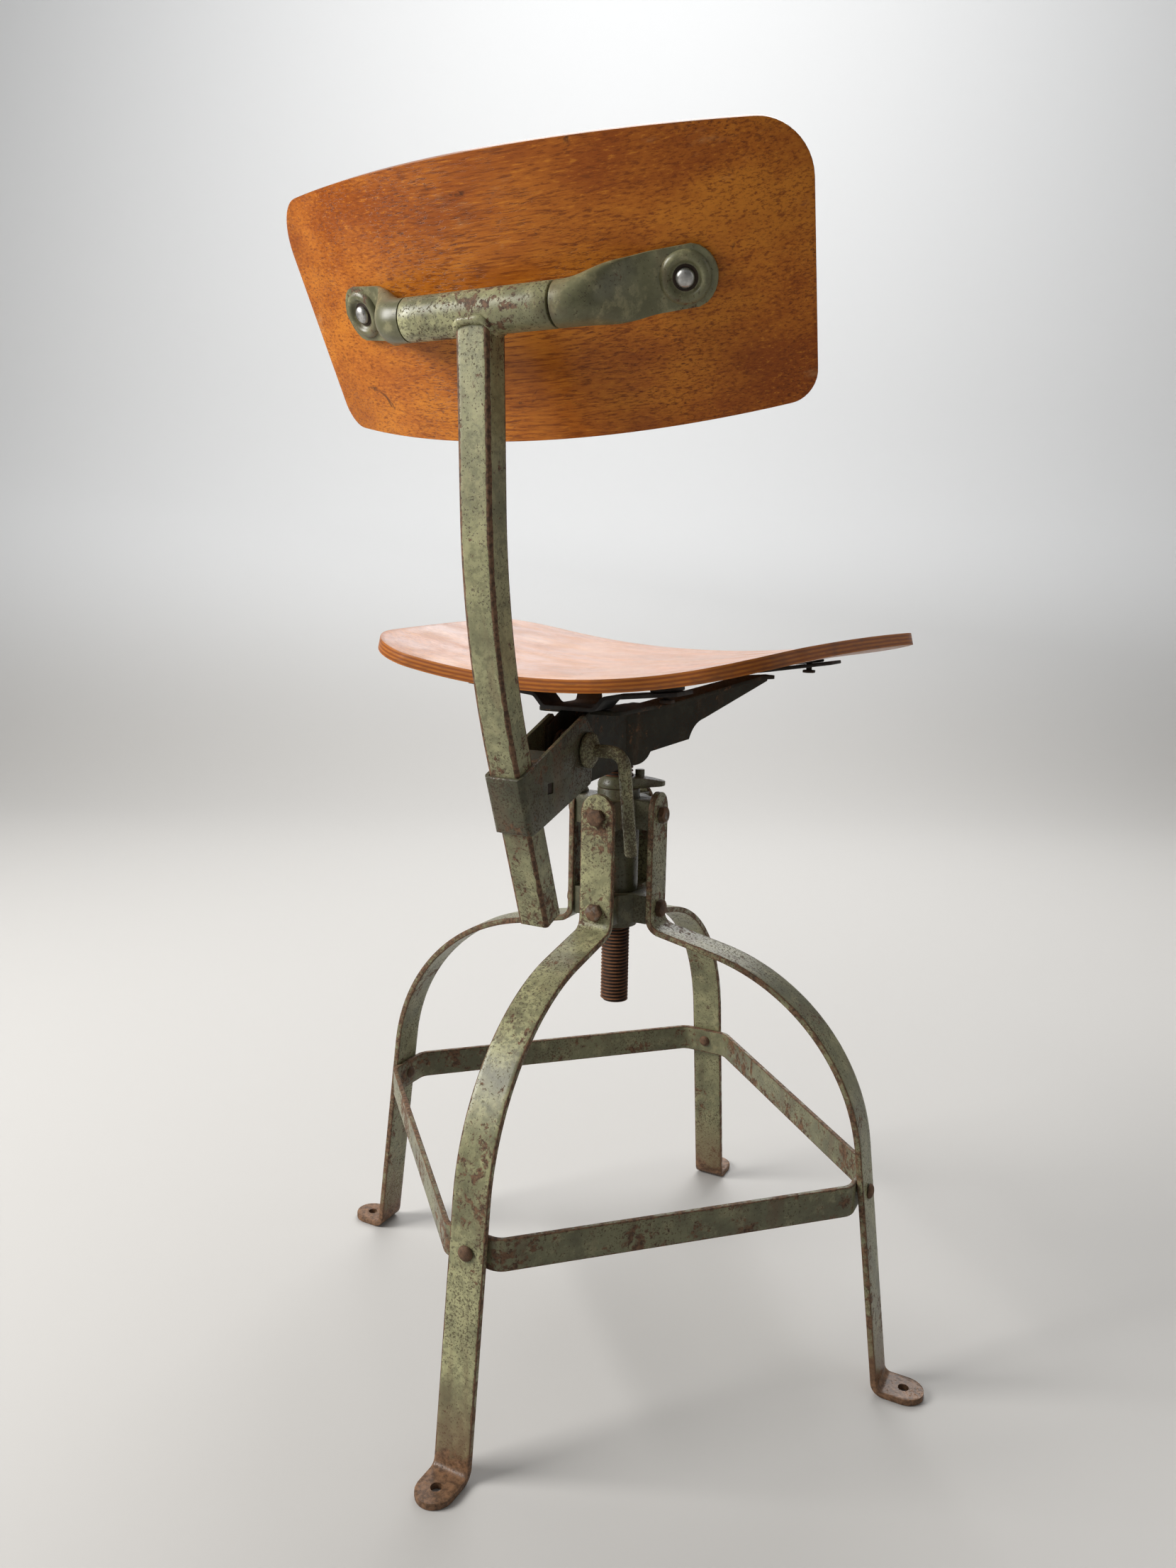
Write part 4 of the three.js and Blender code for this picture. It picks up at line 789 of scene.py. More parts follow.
class CHAIR_OT_footrest(bpy.types.Operator):
    """The footrest ring, a flat bar bent square with its corners cut, and its four rivets"""

    bl_idname = "chair.footrest"
    bl_label = "Footrest ring"

    def execute(self, context):
        lowest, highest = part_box("footrest_ring")
        thick, bend, flat = 4.0, 14.0, 22.0
        middle = highest.x / MM - thick / 2
        height = (highest.z - lowest.z) / MM
        level = (highest.z + lowest.z) / 2 / MM
        tangent = bend * math.tan(math.radians(22.5))
        diagonal = (middle - flat) * math.sqrt(2)
        moves = []
        for _ in range(4):
            moves += [
                ("go", flat - tangent), ("turn", 45, bend, 5), ("go", diagonal - 2 * tangent, 40),
                ("turn", 45, bend, 5), ("go", flat - tangent),
            ]
        points = route(middle, 0, 90, moves)[:-1]
        section, worn = bar_section(thick, height, 0.8)
        rings = []
        for i, point in enumerate(points):
            before, after = points[i - 1], points[(i + 1) % len(points)]
            along = ((point - before).normalized() + (after - point).normalized()).normalized()
            stretch = 1 / max(along.dot((point - before).normalized()), 0.7)
            out = Vector((along.y, -along.x)) * stretch
            rings.append([
                Vector((point.x + out.x * wide, point.y + out.y * wide, level + tall))
                for wide, tall in section
            ])
        ring = loft("footrest_bar", rings, worn, looped=True)
        smooth(ring, 40)
        fit(ring, "base", "green_paint", enamel("ring_enamel", 0.80, pits=0.5, chips=1.2), "footrest_ring")
        self.rivets()
        return {"FINISHED"}

    @staticmethod
    def rivets():
        lowest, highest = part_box("ring_rivet_left")
        level = (lowest.z + highest.z) / 2 / MM
        head = highest.x / MM - 3.2
        inner = lowest.x / MM
        profile = [
            (0, inner), (2.4, inner + 0.3), (4.4, inner + 1.2), (5.5, inner + 3), (3, inner + 3),
            (3, head - 0.4), (6.0, head - 0.4), (6.0, head + 0.3), (5.5, head + 1.5),
            (4.1, head + 2.5), (2.2, head + 3.05), (0, head + 3.2),
        ]
        rivet = turned("ring_rivet_left_head", profile, (1, 0, 0), (0, 0, level), 24)
        smooth(rivet, 50)
        for name, angle in QUARTERS:
            copy = rivet if name == "left" else duplicate(
                rivet, f"ring_rivet_{name}_head", Matrix.Rotation(math.radians(angle), 4, "Z"))
            fit(copy, "base", "brown_steel", browned_steel("rivet_steel", 1.3), f"ring_rivet_{name}")


class CHAIR_OT_hub(bpy.types.Operator):
    """The hub tube, its two collars and the eight bolts that hold the legs"""

    bl_idname = "chair.hub"
    bl_label = "Hub"

    def execute(self, context):
        for node in ("hub_tube", "lower_collar", "upper_collar"):
            # shade 0.45 darkens the hub's enamel as painted shade under the seat
            refit(node, "base", "green_paint", enamel("hub_enamel", 0.45, pits=0.8, chips=0.6))
        lowest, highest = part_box("leg_bolt_left_lower")
        bolt = self.hex_bolt("leg_bolt_left_lower_head", lowest, highest)
        for name, angle in QUARTERS:
            for level in ("lower", "upper"):
                node = f"leg_bolt_{name}_{level}"
                low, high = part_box(node)
                rise = (low.z + high.z) / 2 - (lowest.z + highest.z) / 2
                turn = Matrix.Rotation(math.radians(angle), 4, "Z")
                copy = duplicate(bolt, node + "_hex", Matrix.Translation((0, 0, rise)) @ turn)
                fit(copy, "base", "brown_steel", bolt_steel(), node)
        bpy.data.objects.remove(bolt)
        return {"FINISHED"}

    @staticmethod
    def hex_bolt(name, lowest, highest):
        """A forged hexagon head: six flats cut into a coned top, on a washer face."""
        across, height, shank, chamfer, pole = 13.0, 5.3, 4.0, 0.6, 0.01
        seat = highest.x / MM - height
        end = lowest.x / MM - seat
        level = (lowest.z + highest.z) / 2 / MM
        flat = across / 2 * 0.94
        count = 48

        def ring(radius_at, height_at):
            points = []
            for j, (c, s) in enumerate(round_turn(count)):
                off_corner = (2 * math.pi * j / count) % (math.pi / 3) - math.pi / 6
                hexagon = (across / 2) / math.cos(off_corner)
                radius = radius_at(hexagon)
                points.append(Vector((seat + height_at(hexagon), radius * c, level + radius * s)))
            return points

        rings = [
            ring(lambda h: pole, lambda h: end),
            ring(lambda h: shank - chamfer, lambda h: end),
            ring(lambda h: shank, lambda h: end + chamfer),
            ring(lambda h: shank, lambda h: 0.0),
            ring(lambda h: flat, lambda h: 0.0),
            ring(lambda h: flat, lambda h: 0.4),
            ring(lambda h: h, lambda h: 0.4),
            ring(lambda h: h, lambda h: height - 0.25 - (h - flat) * 0.58),
            ring(lambda h: flat, lambda h: height - 0.2),
            ring(lambda h: flat - 0.7, lambda h: height),
            ring(lambda h: pole, lambda h: height),
        ]
        bolt = loft(name, rings)
        smooth(bolt, 28)
        return bolt


class CHAIR_OT_spindle(bpy.types.Operator):
    """The seat screw with its helical thread, and the lock nut under the seat"""

    bl_idname = "chair.spindle"
    bl_label = "Seat screw"

    def execute(self, context):
        sizes = context.scene.chair_sizes
        lowest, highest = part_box("seat_spindle")
        crest = highest.x
        root = crest - sizes.thread_depth
        pitch = sizes.thread_pitch
        turns = math.ceil((highest.z - lowest.z) / pitch) + 2
        let_go()
        bpy.ops.mesh.primitive_plane_add(size=1, location=(0, 0, 0))
        screw = added("seat_screw_thread")
        enter(screw)
        cage = bmesh.from_edit_mesh(screw.data)
        bmesh.ops.delete(cage, geom=list(cage.faces), context="FACES_ONLY")
        start = lowest.z - pitch
        spots = [(root, 0.0), (root, 0.10), (crest, 0.44), (crest, 0.54), (root, 0.90), (root, 1.0)]
        for vertex in list(cage.verts):
            cage.verts.remove(vertex)
        line = [cage.verts.new((r, 0, start + share * pitch)) for r, share in spots]
        for a, b in zip(line, line[1:]):
            cage.edges.new((a, b))
        bmesh.update_edit_mesh(screw.data)
        modify(
            screw, "SCREW", axis="Z", angle=2 * math.pi, screw_offset=pitch, iterations=turns,
            steps=24, render_steps=24, use_merge_vertices=True, merge_threshold=0.00002)
        for height, outer in ((lowest.z, False), (highest.z, True)):
            enter(screw)
            bpy.ops.mesh.bisect(
                plane_co=(0, 0, height), plane_no=(0, 0, 1), use_fill=True,
                clear_inner=not outer, clear_outer=outer)
            let_go()
        close_and_face_out(screw, 0.01)
        smooth(screw, 40)
        fit(screw, "spindle", "rusty_steel", thread_rust("screw_rust"), "seat_spindle")
        # shade 0.55 darkens the lock nut's enamel as painted shade under the seat
        refit("lock_nut", "lock", "dark_green_paint", enamel("nut_enamel", 0.55, pits=0.8, chips=0.9))
        return {"FINISHED"}


# ------------------------------------------------------------------ seat
SEAT_HEIGHT = 576
SEAT_SPAN = 190  # distance to which the four curves below are given
SEAT_MIDDLE = -29
SEAT_DISH, SEAT_HOLLOW, SEAT_PITCH, SEAT_TWIST = 25.5, 2.6, 4.7, 5.8


def seat_top(x, y):
    """Height of the dished seat's top face, in millimetres."""
    across = (x / SEAT_SPAN) ** 2
    along = (y - SEAT_MIDDLE) / SEAT_SPAN
    level = SEAT_HEIGHT + SEAT_DISH * across - SEAT_HOLLOW * along**2
    return level - SEAT_PITCH * along + SEAT_TWIST * across * along


def corner_pull(distance, corner):
    """How far a rounded corner pulls a side in, at a distance from the end edge."""
    if distance >= corner:
        return 0.0
    return corner - math.sqrt(max(corner**2 - (corner - distance) ** 2, 0))


def sheet_grid(name, columns, rows, place):
    """A grid whose points are set by place(u, v), with u and v from -1 to 1."""
    let_go()
    bpy.ops.mesh.primitive_grid_add(
        x_subdivisions=columns, y_subdivisions=rows, size=2, location=(0, 0, 0))
    sheet = added(name)
    for vertex in sheet.data.vertices:
        vertex.co = Vector(place(vertex.co.x, vertex.co.y)) * MM
    return sheet


def ply_board(sheet, thick, rounding, depth_of, face, edge):
    """Thickens a sheet, rounds its rim, marks its plies and gives face and rim their finish."""
    sheet.data.materials.clear()
    sheet.data.materials.append(face)
    sheet.data.materials.append(edge)
    modify(
        sheet, "SOLIDIFY", thickness=thick * MM, offset=-1, use_even_offset=True,
        material_offset_rim=1)
    modify(
        sheet, "BEVEL", width=rounding, segments=3, limit_method="ANGLE",
        angle_limit=math.radians(50), material=1)
    ply = sheet.data.attributes.new("ply", "FLOAT", "POINT")
    for vertex in sheet.data.vertices:
        ply.data[vertex.index].value = depth_of(vertex.co / MM) / thick
    smooth(sheet, 45)


class CHAIR_OT_seat(bpy.types.Operator):
    """The dished plywood seat"""

    bl_idname = "chair.seat"
    bl_label = "Seat"

    def execute(self, context):
        sizes = context.scene.chair_sizes
        lowest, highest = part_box("seat_panel")
        front, rear = lowest.y / MM, highest.y / MM
        front_half, rear_half, corner, thick = 209.0, 173.0, 55.0, 10.0

        def place(u, v):
            y = (front + rear) / 2 + (rear - front) / 2 * math.sin(v * math.pi / 2)
            half = front_half + (rear_half - front_half) * (y - front) / (rear - front)
            half -= corner_pull(min(y - front, rear - y), corner)
            x = half * (0.8 * u + 0.2 * math.sin(u * math.pi / 2))
            return x, y, seat_top(x, y)

        seat = sheet_grid("seat_board", 56, 48, place)
        # pale=0.5 gives the seat's face a painted sheen
        ply_board(
            seat, thick, sizes.ply_rounding,
            lambda p: seat_top(p.x, p.y) - p.z,
            varnished_ply("seat_veneer", pale=0.5), ply_edge("seat_rim"))
        fit(seat, "seat", "varnished_plywood", None, "seat_panel")
        return {"FINISHED"}


class CHAIR_OT_underframe(bpy.types.Operator):
    """Everything under the seat: brackets, straps, socket, rubbers, screws and spring"""

    bl_idname = "chair.underframe"
    bl_label = "Under-seat frame"

    def execute(self, context):
        # Brackets and socket take the under-seat enamel, darkened as painted shade
        for node in ("seat_bracket_left", "seat_bracket_right", "spindle_socket"):
            refit(node, "seat", "dark_green_paint", grimy_enamel())
        for node in ("rear_strap", "front_strap"):
            refit(node, "seat", "dark_green_paint", black_rubber("blackened_strap"))
        # shade 0.45 darkens the screw heads as painted shade under the seat
        head_steel = browned_steel("screw_head_steel", 0.45)
        for spot in ("rear_left", "rear_right", "front_left", "front_right"):
            refit(f"rubber_pad_{spot}", "seat", "black_rubber", black_rubber("pad_rubber"), 0.0012)
            refit(f"seat_screw_{spot}", "seat", "brown_steel", head_steel, 0.0004)
        rust = browned_steel("spring_rust", 0.9, bright=-0.2)
        refit("torsion_spring", "seat", "rusty_steel", rust, 0.0002, 80)
        return {"FINISHED"}


# ------------------------------------------------------------------ back
BACK_TILT = math.radians(28)
BACK_PLACE = Matrix.Translation((0, 183 * MM, 811 * MM)) @ Matrix.Rotation(-BACK_TILT, 4, "X")
PANEL_CURVE = 438.0
BOLT_ACROSS = 122.0
BOLT_TURN = math.asin(BOLT_ACROSS / PANEL_CURVE)
BOLT_UP = 8.0
PIVOT = Vector((0, 89, 514))  # of the clevis and the clamp
SLEEVE = Vector((0, 214.623, 806.5))  # middle of the cross tube


def on_panel(across, up, out):
    """A point of the curved back in its own frame: across, up and out of its rear face."""
    a = across / PANEL_CURVE
    r = PANEL_CURVE + out
    return Vector((r * math.sin(a), r * math.cos(a) - PANEL_CURVE, up))


def bolt_place(side):
    """Where a bolt meets the panel's rear face, and the way that it points."""
    foot = on_panel(side * BOLT_TURN * PANEL_CURVE, BOLT_UP, 0)
    return foot, Vector((side * math.sin(BOLT_TURN), math.cos(BOLT_TURN), 0))


class CHAIR_OT_back_stem(bpy.types.Operator):
    """The bent square post, its clevis, the clamp and its crank"""

    bl_idname = "chair.back_stem"
    bl_label = "Back stem"

    def execute(self, context):
        self.post()
        # shade 0.38 darkens the clevis's enamel as painted shade under the seat
        shade = enamel("clevis_enamel", 0.38, pits=1.0, chips=0.9)
        refit("back_clevis", "clevis", "green_paint", shade, 0.0008)
        self.peg()
        # The grip plate takes the under-seat enamel, darkened as painted shade
        refit("grip_plate", "clevis", "dark_green_paint", grimy_enamel())
        refit("clamp_nut", "clevis", "brown_steel", bolt_steel(), 0.0005)
        self.crank(context.scene.chair_sizes.crank_bar / MM / 2)
        return {"FINISHED"}

    @staticmethod
    def peg():
        """The square end of a bar that shows in the hole through one clevis plate, its steel darkened as
        painted shade in the hole.
        """
        half = 3.7
        middle = PIVOT + Vector((0, 55, -22))
        corners = ((1, 1), (-1, 1), (-1, -1), (1, -1))
        peg = loft("clevis_peg", [
            [Vector((x, middle.y + a * half, middle.z + b * half)) for a, b in corners]
            for x in (-14.6, -14.0, 12.0, 12.4)
        ])
        smooth(peg, 30)
        # Its very dark steel is painted shade in the hole
        fit(peg, "clevis", "brown_steel", browned_steel("peg_steel", 0.3, bright=-0.6))

    @staticmethod
    def post():
        """A square tube: straight, one long bend, straight, with its foot open."""
        width, deep, wall, lean, upright = 24.5, 22.0, 2.0, 20, 2
        foot_y, foot_z, bend_at, bend_r, cope = 130, 389, 141, 540, 7
        bent = route(foot_y, foot_z, 90 - lean, [
            ("go", bend_at), ("turn", lean - upright, bend_r, 3)])[-1]
        upper = (SLEEVE.z - bent.y) / math.cos(math.radians(upright)) - cope
        middle = route(foot_y, foot_z, 90 - lean, [
            ("go", bend_at, 35), ("turn", lean - upright, bend_r, 1), ("go", upper, 40)])
        section, worn = bar_section(width, deep, 2.6, 2.2, 4)
        rings = swept(middle, section, lambda wide, out, up: Vector((wide, out, up)))
        post = loft("post_tube", rings, worn, open_ends=True)
        modify(post, "SOLIDIFY", thickness=wall * MM, offset=-1, use_even_offset=True)
        smooth(post, 40)
        shade = enamel(
            "post_enamel", 1.0, pits=0.55, chips=0.8, bleach=0.5, toward=("Z", 0.47, 0.39, 0.14))
        fit(post, "post", "green_paint", shade, "back_post")

    @staticmethod
    def crank(radius):
        """A round bar bent down from the clamp's boss, with a cut end."""
        lean = math.radians(12)
        down = Vector((0, -math.sin(lean), -math.cos(lean)))
        out = Vector((-1, 0, 0))
        face, corner, arm, bend = 15.85, 47.0, 84.0, 11.0
        turns = 9
        points = [PIVOT + out * (face + 2), PIVOT + out * (corner - bend)]
        centre = PIVOT + out * (corner - bend) + down * bend
        for i in range(1, turns + 1):
            a = math.radians(90 * i / turns)
            points.append(centre - down * bend * math.cos(a) + out * bend * math.sin(a))
        bent, end = points[-1], PIVOT + out * corner + down * arm
        for share in (0.25, 0.5, 0.75, 0.93, 0.975, 1.0):
            points.append(bent.lerp(end, share))
        side = down.cross(out)
        rings = []
        for i, point in enumerate(points):
            before, after = points[max(i - 1, 0)], points[min(i + 1, len(points) - 1)]
            along = (after - before).normalized()
            other = along.cross(side).normalized()
            thick = radius * (0.93 if i == len(points) - 1 else 1.0)
            if i < 2:
                thick = radius * 1.02
            rings.append([point + side * thick * c + other * thick * s for c, s in round_turn(24)])
        bar = loft("clamp_crank_bar", rings)
        boss = turned("clamp_boss", [
            (0, face), (12.2, face), (13.6, face + 0.8), (14.0, face + 2.2), (13.4, face + 3.8),
            (11.5, face + 4.8), (8.6, face + 5.3), (7.4, face + 6.6), (5.6, face + 8.0), (0, face + 8.2),
        ], out, PIVOT, 40)
        weld_from, weld_grain, weld_swell = 3.4, 260, 0.0011
        for vertex in boss.data.vertices:
            wobble = noise.noise(vertex.co * weld_grain) * weld_swell
            if vertex.co.x < -(face + weld_from) * MM:
                spoke = Vector((0, vertex.co.y - PIVOT.y * MM, vertex.co.z - PIVOT.z * MM))
                vertex.co += spoke.normalized() * wobble
        shaft = turned("clamp_shaft", [
            (0, -(face + 1)), (5, -(face + 1)), (5, 26.2), (4.2, 27), (0, 27)], -out, PIVOT, 32)
        crank = join(bar, boss, shaft)
        crank.name = "clamp_crank_handle"
        smooth(crank, 45)
        shade = enamel("crank_enamel", 1.15, pits=1.35, chips=0.8)
        fit(crank, "crank", "worn_green_paint", shade, "clamp_crank")


class CHAIR_OT_backrest(bpy.types.Operator):
    """The curved plywood back, its cross tube, brackets and bolts"""

    bl_idname = "chair.backrest"
    bl_label = "Backrest"

    def execute(self, context):
        sizes = context.scene.chair_sizes
        top_half, bottom_half, half_height = 208.0, 196.0, 79.5
        top_corner, bottom_corner, thick = 33.0, 17.0, 9.0

        def place(u, v):
            up = half_height * math.sin(v * math.pi / 2)
            half = bottom_half + (top_half - bottom_half) * (up + half_height) / (2 * half_height)
            half -= corner_pull(half_height - up, top_corner) + corner_pull(half_height + up, bottom_corner)
            across = half * (0.75 * u + 0.25 * math.sin(u * math.pi / 2))
            crown = 17.5 if up > 0 else 5.0
            up += crown * up / half_height * (1 - (across / top_half) ** 2)
            point = on_panel(across, up, 0)
            return point.x, -point.y, point.z

        panel = sheet_grid("back_board", 64, 40, place)
        panel.data.transform(Matrix.Scale(-1, 4, (0, 1, 0)))
        enter(panel)
        bpy.ops.mesh.normals_make_consistent(inside=False)
        let_go()
        if panel.data.polygons[0].normal.y < 0:
            panel.data.flip_normals()
        ply_board(
            panel, thick, sizes.ply_rounding,
            lambda p: PANEL_CURVE - math.hypot(p.x, p.y + PANEL_CURVE),
            varnished_ply("back_veneer", turn=(BACK_TILT, 0, 0)), ply_edge("back_rim"))
        panel.data.transform(BACK_PLACE)
        fit(panel, "back", "varnished_plywood", None, "back_panel")
        self.sleeve()
        for name, side in (("left", 1), ("right", -1)):
            self.arm(name, side)
            self.bolt(name, side)
        return {"FINISHED"}

    @staticmethod
    def sleeve():
        """The cross tube, with the weld that holds it on the post."""
        lowest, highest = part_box("cross_sleeve")
        half, radius = highest.x / MM, (highest.y - lowest.y) / 2 / MM
        at = Vector((0, (lowest.y + highest.y) / 2 / MM, (lowest.z + highest.z) / 2 / MM))
        bore, rim, fillet = 11.06, 0.5, 0.6
        profile = [(bore, -half), (radius - rim, -half), (radius, -half + fillet)]
        profile += [(radius, -half + fillet + 2 * (half - fillet) * i / 10) for i in range(1, 10)]
        profile += [(radius, half - fillet), (radius - rim, half), (bore, half)]
        rings = [[at + Vector((along, r * c, r * s)) for c, s in round_turn(48)] for r, along in profile]
        tube = loft("cross_tube", rings, looped=True)
        smooth(tube, 40)
        weld_x, weld_y, squareness, spots = 12.6, 12.1, 1.25, 24
        bead = []
        for i in range(spots):
            a = math.radians(-90 + 360 * i / spots)
            x = weld_x * max(-1, min(1, squareness * math.cos(a)))
            deep = weld_y * max(-1, min(1, squareness * math.sin(a)))
            drop = math.sqrt(max(radius**2 - deep**2, 0))
            bead.append(at + Vector((x, deep, -drop)))
        rings = []
        for i, point in enumerate(bead):
            along = (bead[(i + 1) % len(bead)] - bead[i - 1]).normalized()
            out = Vector((0, point.y - at.y, point.z - at.z)).normalized()
            other = along.cross(out).normalized()
            out = other.cross(along).normalized()
            fat = 2.0 + 0.9 * noise.noise(point * 0.55)
            rings.append([point + out * fat * c + other * fat * 1.3 * s for c, s in round_turn(10)])
        weld = loft("sleeve_weld", rings, looped=True)
        smooth(weld, 60)
        tube = join(tube, weld)
        shade = enamel(
            "sleeve_enamel", 1.15, pits=0.4, chips=0.8, bleach=0.8, toward=("X", -0.03, 0.05, 0.16))
        fit(tube, "post", "worn_green_paint", shade, "cross_sleeve")
        refinish("back_axle", browned_steel("axle_steel", 0.5))

    @staticmethod
    def arm(name, side):
        """A tube end, round beside the sleeve and flattened with a rounded tip on the panel."""
        local = BACK_PLACE.inverted() @ (SLEEVE * MM) / MM
        turn = BOLT_TURN
        flat = math.degrees(turn)
        steep, bend, start = 50, 18, 55.5 if side > 0 else 57.2
        tab_thick, tab_half, tab_reach, round_r = 4.4, 18.5, 20.0, 14.0
        lift = 0.3 + tab_thick / 2 + 0.25
        tab = on_panel(turn * PANEL_CURVE, 0, lift)

        def fall(a, b):
            return bend * (math.cos(math.radians(b)) - math.cos(math.radians(a)))

        def gain(a, b):
            return bend * (math.sin(math.radians(a)) - math.sin(math.radians(b)))

        drop = local.y - fall(steep, 0) - fall(steep, flat)
        out = start + 3.5 + gain(steep, 0) + gain(steep, flat)
        tan = math.tan(turn)
        slant = (drop - tab.y - (tab.x - out) * tan) / (
            math.sin(math.radians(steep)) - math.cos(math.radians(steep)) * tan)
        tab_start = out + slant * math.cos(math.radians(steep))
        tab_length = (tab.x - tab_start) / math.cos(turn) + tab_reach
        middle = route(start, local.y, 0, [
            ("go", 3.5), ("turn", -steep, bend, 5), ("go", slant, 4), ("turn", steep - flat, bend, 5),
            ("go", tab_length - tab_reach), ("go", 6), ("go", 5), ("go", 3.6), ("go", 2.4),
            ("go", 1.5), ("go", 0.9), ("go", 0.45), ("go", 0.15),
        ])
        total = lengths_along(middle)
        flat_from = total[-1] - tab_length - 6
        count = 40
        rings = []
        for i, point in enumerate(middle):
            along, _ = heading_at(middle, i)
            share = min(max((total[i] - 4) / (flat_from - 4), 0), 1)
            share = share * share * (3 - 2 * share)
            from_end = max(total[-1] - total[i], 0.05)
            beyond = max(0, tab_reach - from_end)
            tip = math.sqrt(max(tab_reach**2 - beyond**2, 0.2))
            shrink = min(1, tip / tab_half)
            high = (round_r + (tab_half - round_r) * share) * shrink
            deep = round_r + (tab_thick / 2 - round_r) * share
            up = local.z + (BOLT_UP - local.z) * share
            power = 1 - 0.66 * share
            ring = []
            for j in range(count):
                a = 2 * math.pi * j / count
                s, c = math.sin(a), math.cos(a)
                swell = 1 + 0.10 * math.sin(math.pi * share) * abs(c) ** 6
                across = deep * math.copysign(abs(s) ** power, s)
                lip = 0.9 * share * abs(c) ** 8 * shrink
                ring.append(Vector((
                    side * (point.x - along.y * (across + lip)),
                    point.y + along.x * (across + lip),
                    up + high * c * swell,
                )))
            rings.append(ring)
        arm = loft(f"back_arm_{name}_tube", rings)
        foot, normal = bolt_place(side)
        top = lift + tab_thick / 2
        dish = turned(f"dished_ring_{name}", [
            (16.4, top - 0.6), (16.2, top + 0.1), (15.5, top + 1.5), (14.2, top + 2.7),
            (12.6, top + 3.2), (11.0, top + 2.9), (9.8, top + 1.8), (9.0, top + 0.6),
            (8.3, top + 0.3), (0, top + 0.2),
        ], normal, foot, 48)
        # A dark disc in the hollow round the bolt: painted shade in the recess
        hollow = turned(f"bolt_hollow_{name}", [
            (7.9, top - 0.5), (7.9, top + 0.42), (0, top + 0.45)], normal, foot, 40)
        arm = join(arm, dish)
        smooth(arm, 50)
        arm.data.transform(BACK_PLACE)
        hollow.data.transform(BACK_PLACE)
        fit(hollow, "back", "brown_steel", browned_steel("hollow_rust", 0.35, bright=-0.6))
        shade = enamel(f"arm_enamel_{name}", 0.98, pits=0.05, chips=0.42)
        fit(arm, "back", "worn_green_paint", shade, f"back_arm_{name}")

    @staticmethod
    def bolt(name, side):
        """A dome-headed bolt from behind and its flanged nut in the front face."""
        foot, normal = bolt_place(side)
        on = 5.0
        head = turned(f"panel_bolt_{name}_dome", [
            (0, -9.5), (3.9, -9.5), (3.9, on + 0.2), (5.7, on + 0.2), (6.0, on + 0.9), (5.8, on + 2.0),
            (5.1, on + 3.1), (3.9, on + 3.9), (2.3, on + 4.35), (0, on + 4.5),
        ], normal, foot, 40)
        smooth(head, 50)
        head.data.transform(BACK_PLACE)
        fit(head, "back", "bright_steel", zinc_plate("zinc_plate"), f"panel_bolt_{name}")
        nut = turned(f"panel_nut_{name}_flange", [
            (0, -12.2), (3.2, -12.2), (3.6, -11.6), (5.0, -11.5), (8.4, -11.0), (9.0, -10.4),
            (9.0, -9.4), (0, -9.4),
        ], normal, foot, 40)
        smooth(nut, 40)
        nut.data.transform(BACK_PLACE)
        fit(nut, "back", "bright_steel", zinc_plate("zinc_plate"), f"panel_nut_{name}")


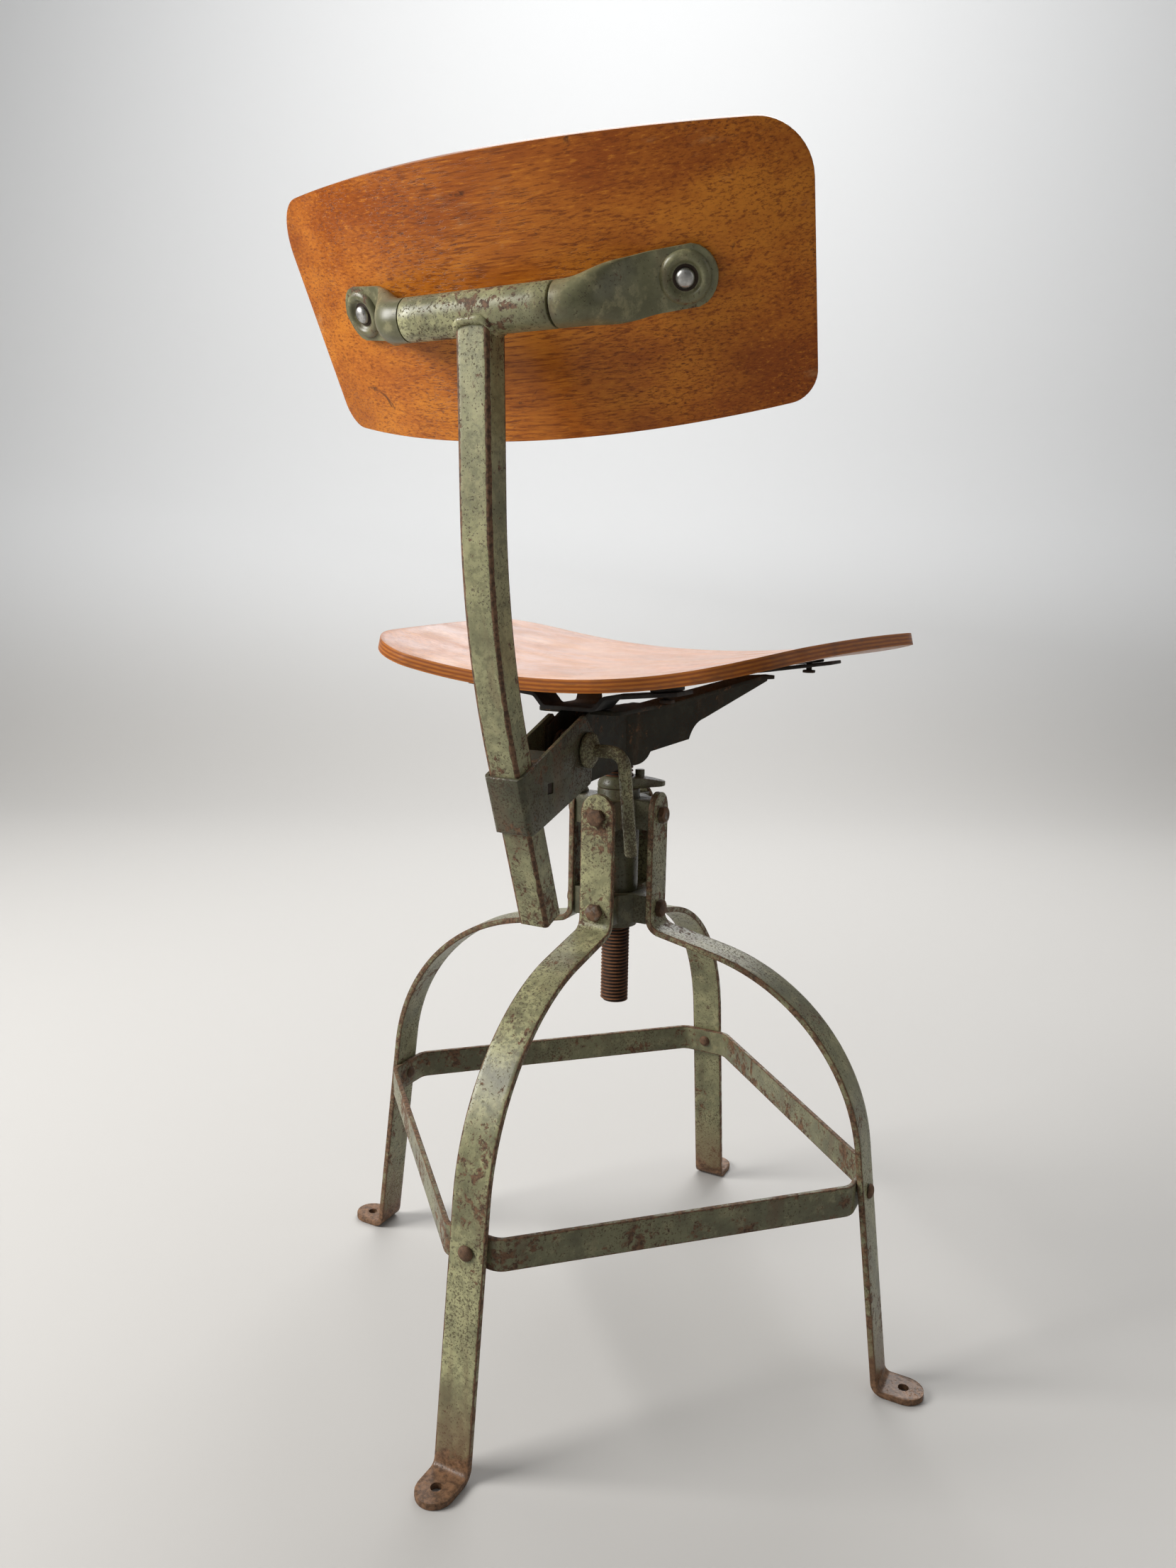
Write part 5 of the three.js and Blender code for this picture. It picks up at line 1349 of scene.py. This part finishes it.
# ------------------------------------------------------------------ stage
class CHAIR_OT_stage(bpy.types.Operator):
    """A pale floor and backdrop, a big soft light and the camera"""

    bl_idname = "chair.stage"
    bl_label = "Stage"

    def execute(self, context):
        stage = context.scene.chair_stage
        self.backdrop(stage)
        self.lights(context, stage)
        self.camera(context, stage)
        return {"FINISHED"}

    @staticmethod
    def backdrop(stage):
        """A pale sheet that lies flat, then curves up well behind the chair."""
        near, reach, bend, rise, half_width, sunk = 3, 2.2, 1.3, 4.0, 5, 0.0005
        quarter = bend * math.pi / 2
        total = near + reach + quarter + rise
        turn = Matrix.Rotation(math.radians(27.7), 4, "Z")

        def place(u, v):
            along = (v + 1) / 2 * total - near
            if along < reach:
                deep, high = along, 0.0
            elif along < reach + quarter:
                a = (along - reach) / bend
                deep, high = reach + bend * math.sin(a), bend * (1 - math.cos(a))
            else:
                deep, high = reach + bend, bend + along - reach - quarter
            return turn @ Vector((u * half_width, -deep, high - sunk)) / MM

        sheet = sheet_grid("backdrop_sheet", 2, 90, place)
        f = Finish("backdrop_paint")
        high = f.between(f.part_of_place("Z"), 0.02, 0.9)
        f.shade(Base_Color=f.blend(high, tuple(stage.floor), tuple(stage.wall)), Roughness=0.9)
        sheet.data.materials.append(f.material)
        bpy.ops.object.shade_smooth()

    @staticmethod
    def lights(context, stage):
        chair, wall = Vector((0, 0.05, 0.55)), Vector((1.6, -3.4, 0.6))
        for name, place, size, power, colour in (
            ("window_light", (1.9, 1.55, 1.75), 1.3, stage.window, (1.0, 0.985, 0.96)),
            ("side_fill", (-2.3, -0.4, 1.5), 2.0, stage.window * 0.08, (1.0, 0.99, 0.97)),
            ("front_fill", (0.6, -2.0, 2.2), 1.8, stage.window * 0.40, (1.0, 1.0, 1.0)),
            ("wall_light", (0.5, -1.2, 3.4), 2.4, stage.window * 0.62, (1.0, 1.0, 1.0)),
        ):
            let_go()
            bpy.ops.object.light_add(type="AREA", location=place)
            lamp = bpy.context.object
            lamp.name = name
            lamp.data.shape = "SQUARE"
            lamp.data.size = size
            lamp.data.energy = power
            lamp.data.color = colour
            towards = wall if name == "wall_light" else chair
            lamp.rotation_euler = (towards - Vector(place)).to_track_quat("-Z", "Y").to_euler()
        world = bpy.data.worlds.new("room")
        world.use_nodes = True
        background = world.node_tree.nodes.get("Background")
        background.inputs["Color"].default_value = (0.93, 0.93, 0.92, 1)
        background.inputs["Strength"].default_value = stage.room
        context.scene.world = world
        context.scene.view_settings.view_transform = "Standard"

    @staticmethod
    def camera(context, stage):
        let_go()
        place = Vector((-0.42163, 0.85907, 0.63802))
        bpy.ops.object.camera_add(location=place)
        camera = bpy.context.object
        camera.name = "view_camera"
        yaw, pitch, roll = (math.radians(a) for a in (152.295, 9.810, 1.068))
        level = Vector((math.sin(yaw), math.cos(yaw), 0))
        forward = level * math.cos(pitch) - Vector((0, 0, math.sin(pitch)))
        right = Vector((math.cos(yaw), -math.sin(yaw), 0))
        up = right.cross(forward)
        across = right * math.cos(roll) + up * math.sin(roll)
        upward = up * math.cos(roll) - right * math.sin(roll)
        turn = Matrix((across, upward, -forward)).transposed().to_4x4()
        camera.matrix_world = Matrix.Translation(place) @ turn
        camera.data.sensor_fit = "VERTICAL"
        camera.data.sensor_height = 36
        camera.data.lens = stage.lens
        camera.data.clip_start = 0.01
        context.scene.camera = camera


# ------------------------------------------------------------------ panel and add-on
STEPS = (
    CHAIR_OT_legs, CHAIR_OT_footrest, CHAIR_OT_hub, CHAIR_OT_spindle, CHAIR_OT_seat,
    CHAIR_OT_underframe, CHAIR_OT_back_stem, CHAIR_OT_backrest, CHAIR_OT_stage,
)
GROUPS = (
    (ChairSizes, "chair_sizes"), (ChairColours, "chair_colours"), (ChairStage, "chair_stage"),
)


class CHAIR_PT_steps(bpy.types.Panel):
    """The chair's pieces and settings in the sidebar"""

    bl_label = "Swivel chair"
    bl_idname = "CHAIR_PT_steps"
    bl_space_type = "VIEW_3D"
    bl_region_type = "UI"
    bl_category = "Chair"

    def draw(self, context):
        for group, key in GROUPS:
            box = self.layout.box()
            for name in group.__annotations__:
                box.prop(getattr(context.scene, key), name)
        for step in STEPS:
            self.layout.operator(step.bl_idname)


def register():
    for group, key in GROUPS:
        bpy.utils.register_class(group)
        setattr(bpy.types.Scene, key, bpy.props.PointerProperty(type=group))
    for step in STEPS:
        bpy.utils.register_class(step)
    bpy.utils.register_class(CHAIR_PT_steps)


def unregister():
    bpy.utils.unregister_class(CHAIR_PT_steps)
    for step in reversed(STEPS):
        bpy.utils.unregister_class(step)
    for group, key in reversed(GROUPS):
        delattr(bpy.types.Scene, key)
        bpy.utils.unregister_class(group)


def main():
    register()
    bpy.ops.chair.stage()
    bpy.ops.chair.legs()
    bpy.ops.chair.footrest()
    bpy.ops.chair.hub()
    bpy.ops.chair.spindle()
    bpy.ops.chair.seat()
    bpy.ops.chair.underframe()
    bpy.ops.chair.back_stem()
    bpy.ops.chair.backrest()
    let_go()
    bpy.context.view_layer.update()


if __name__ == "__main__":
    main()
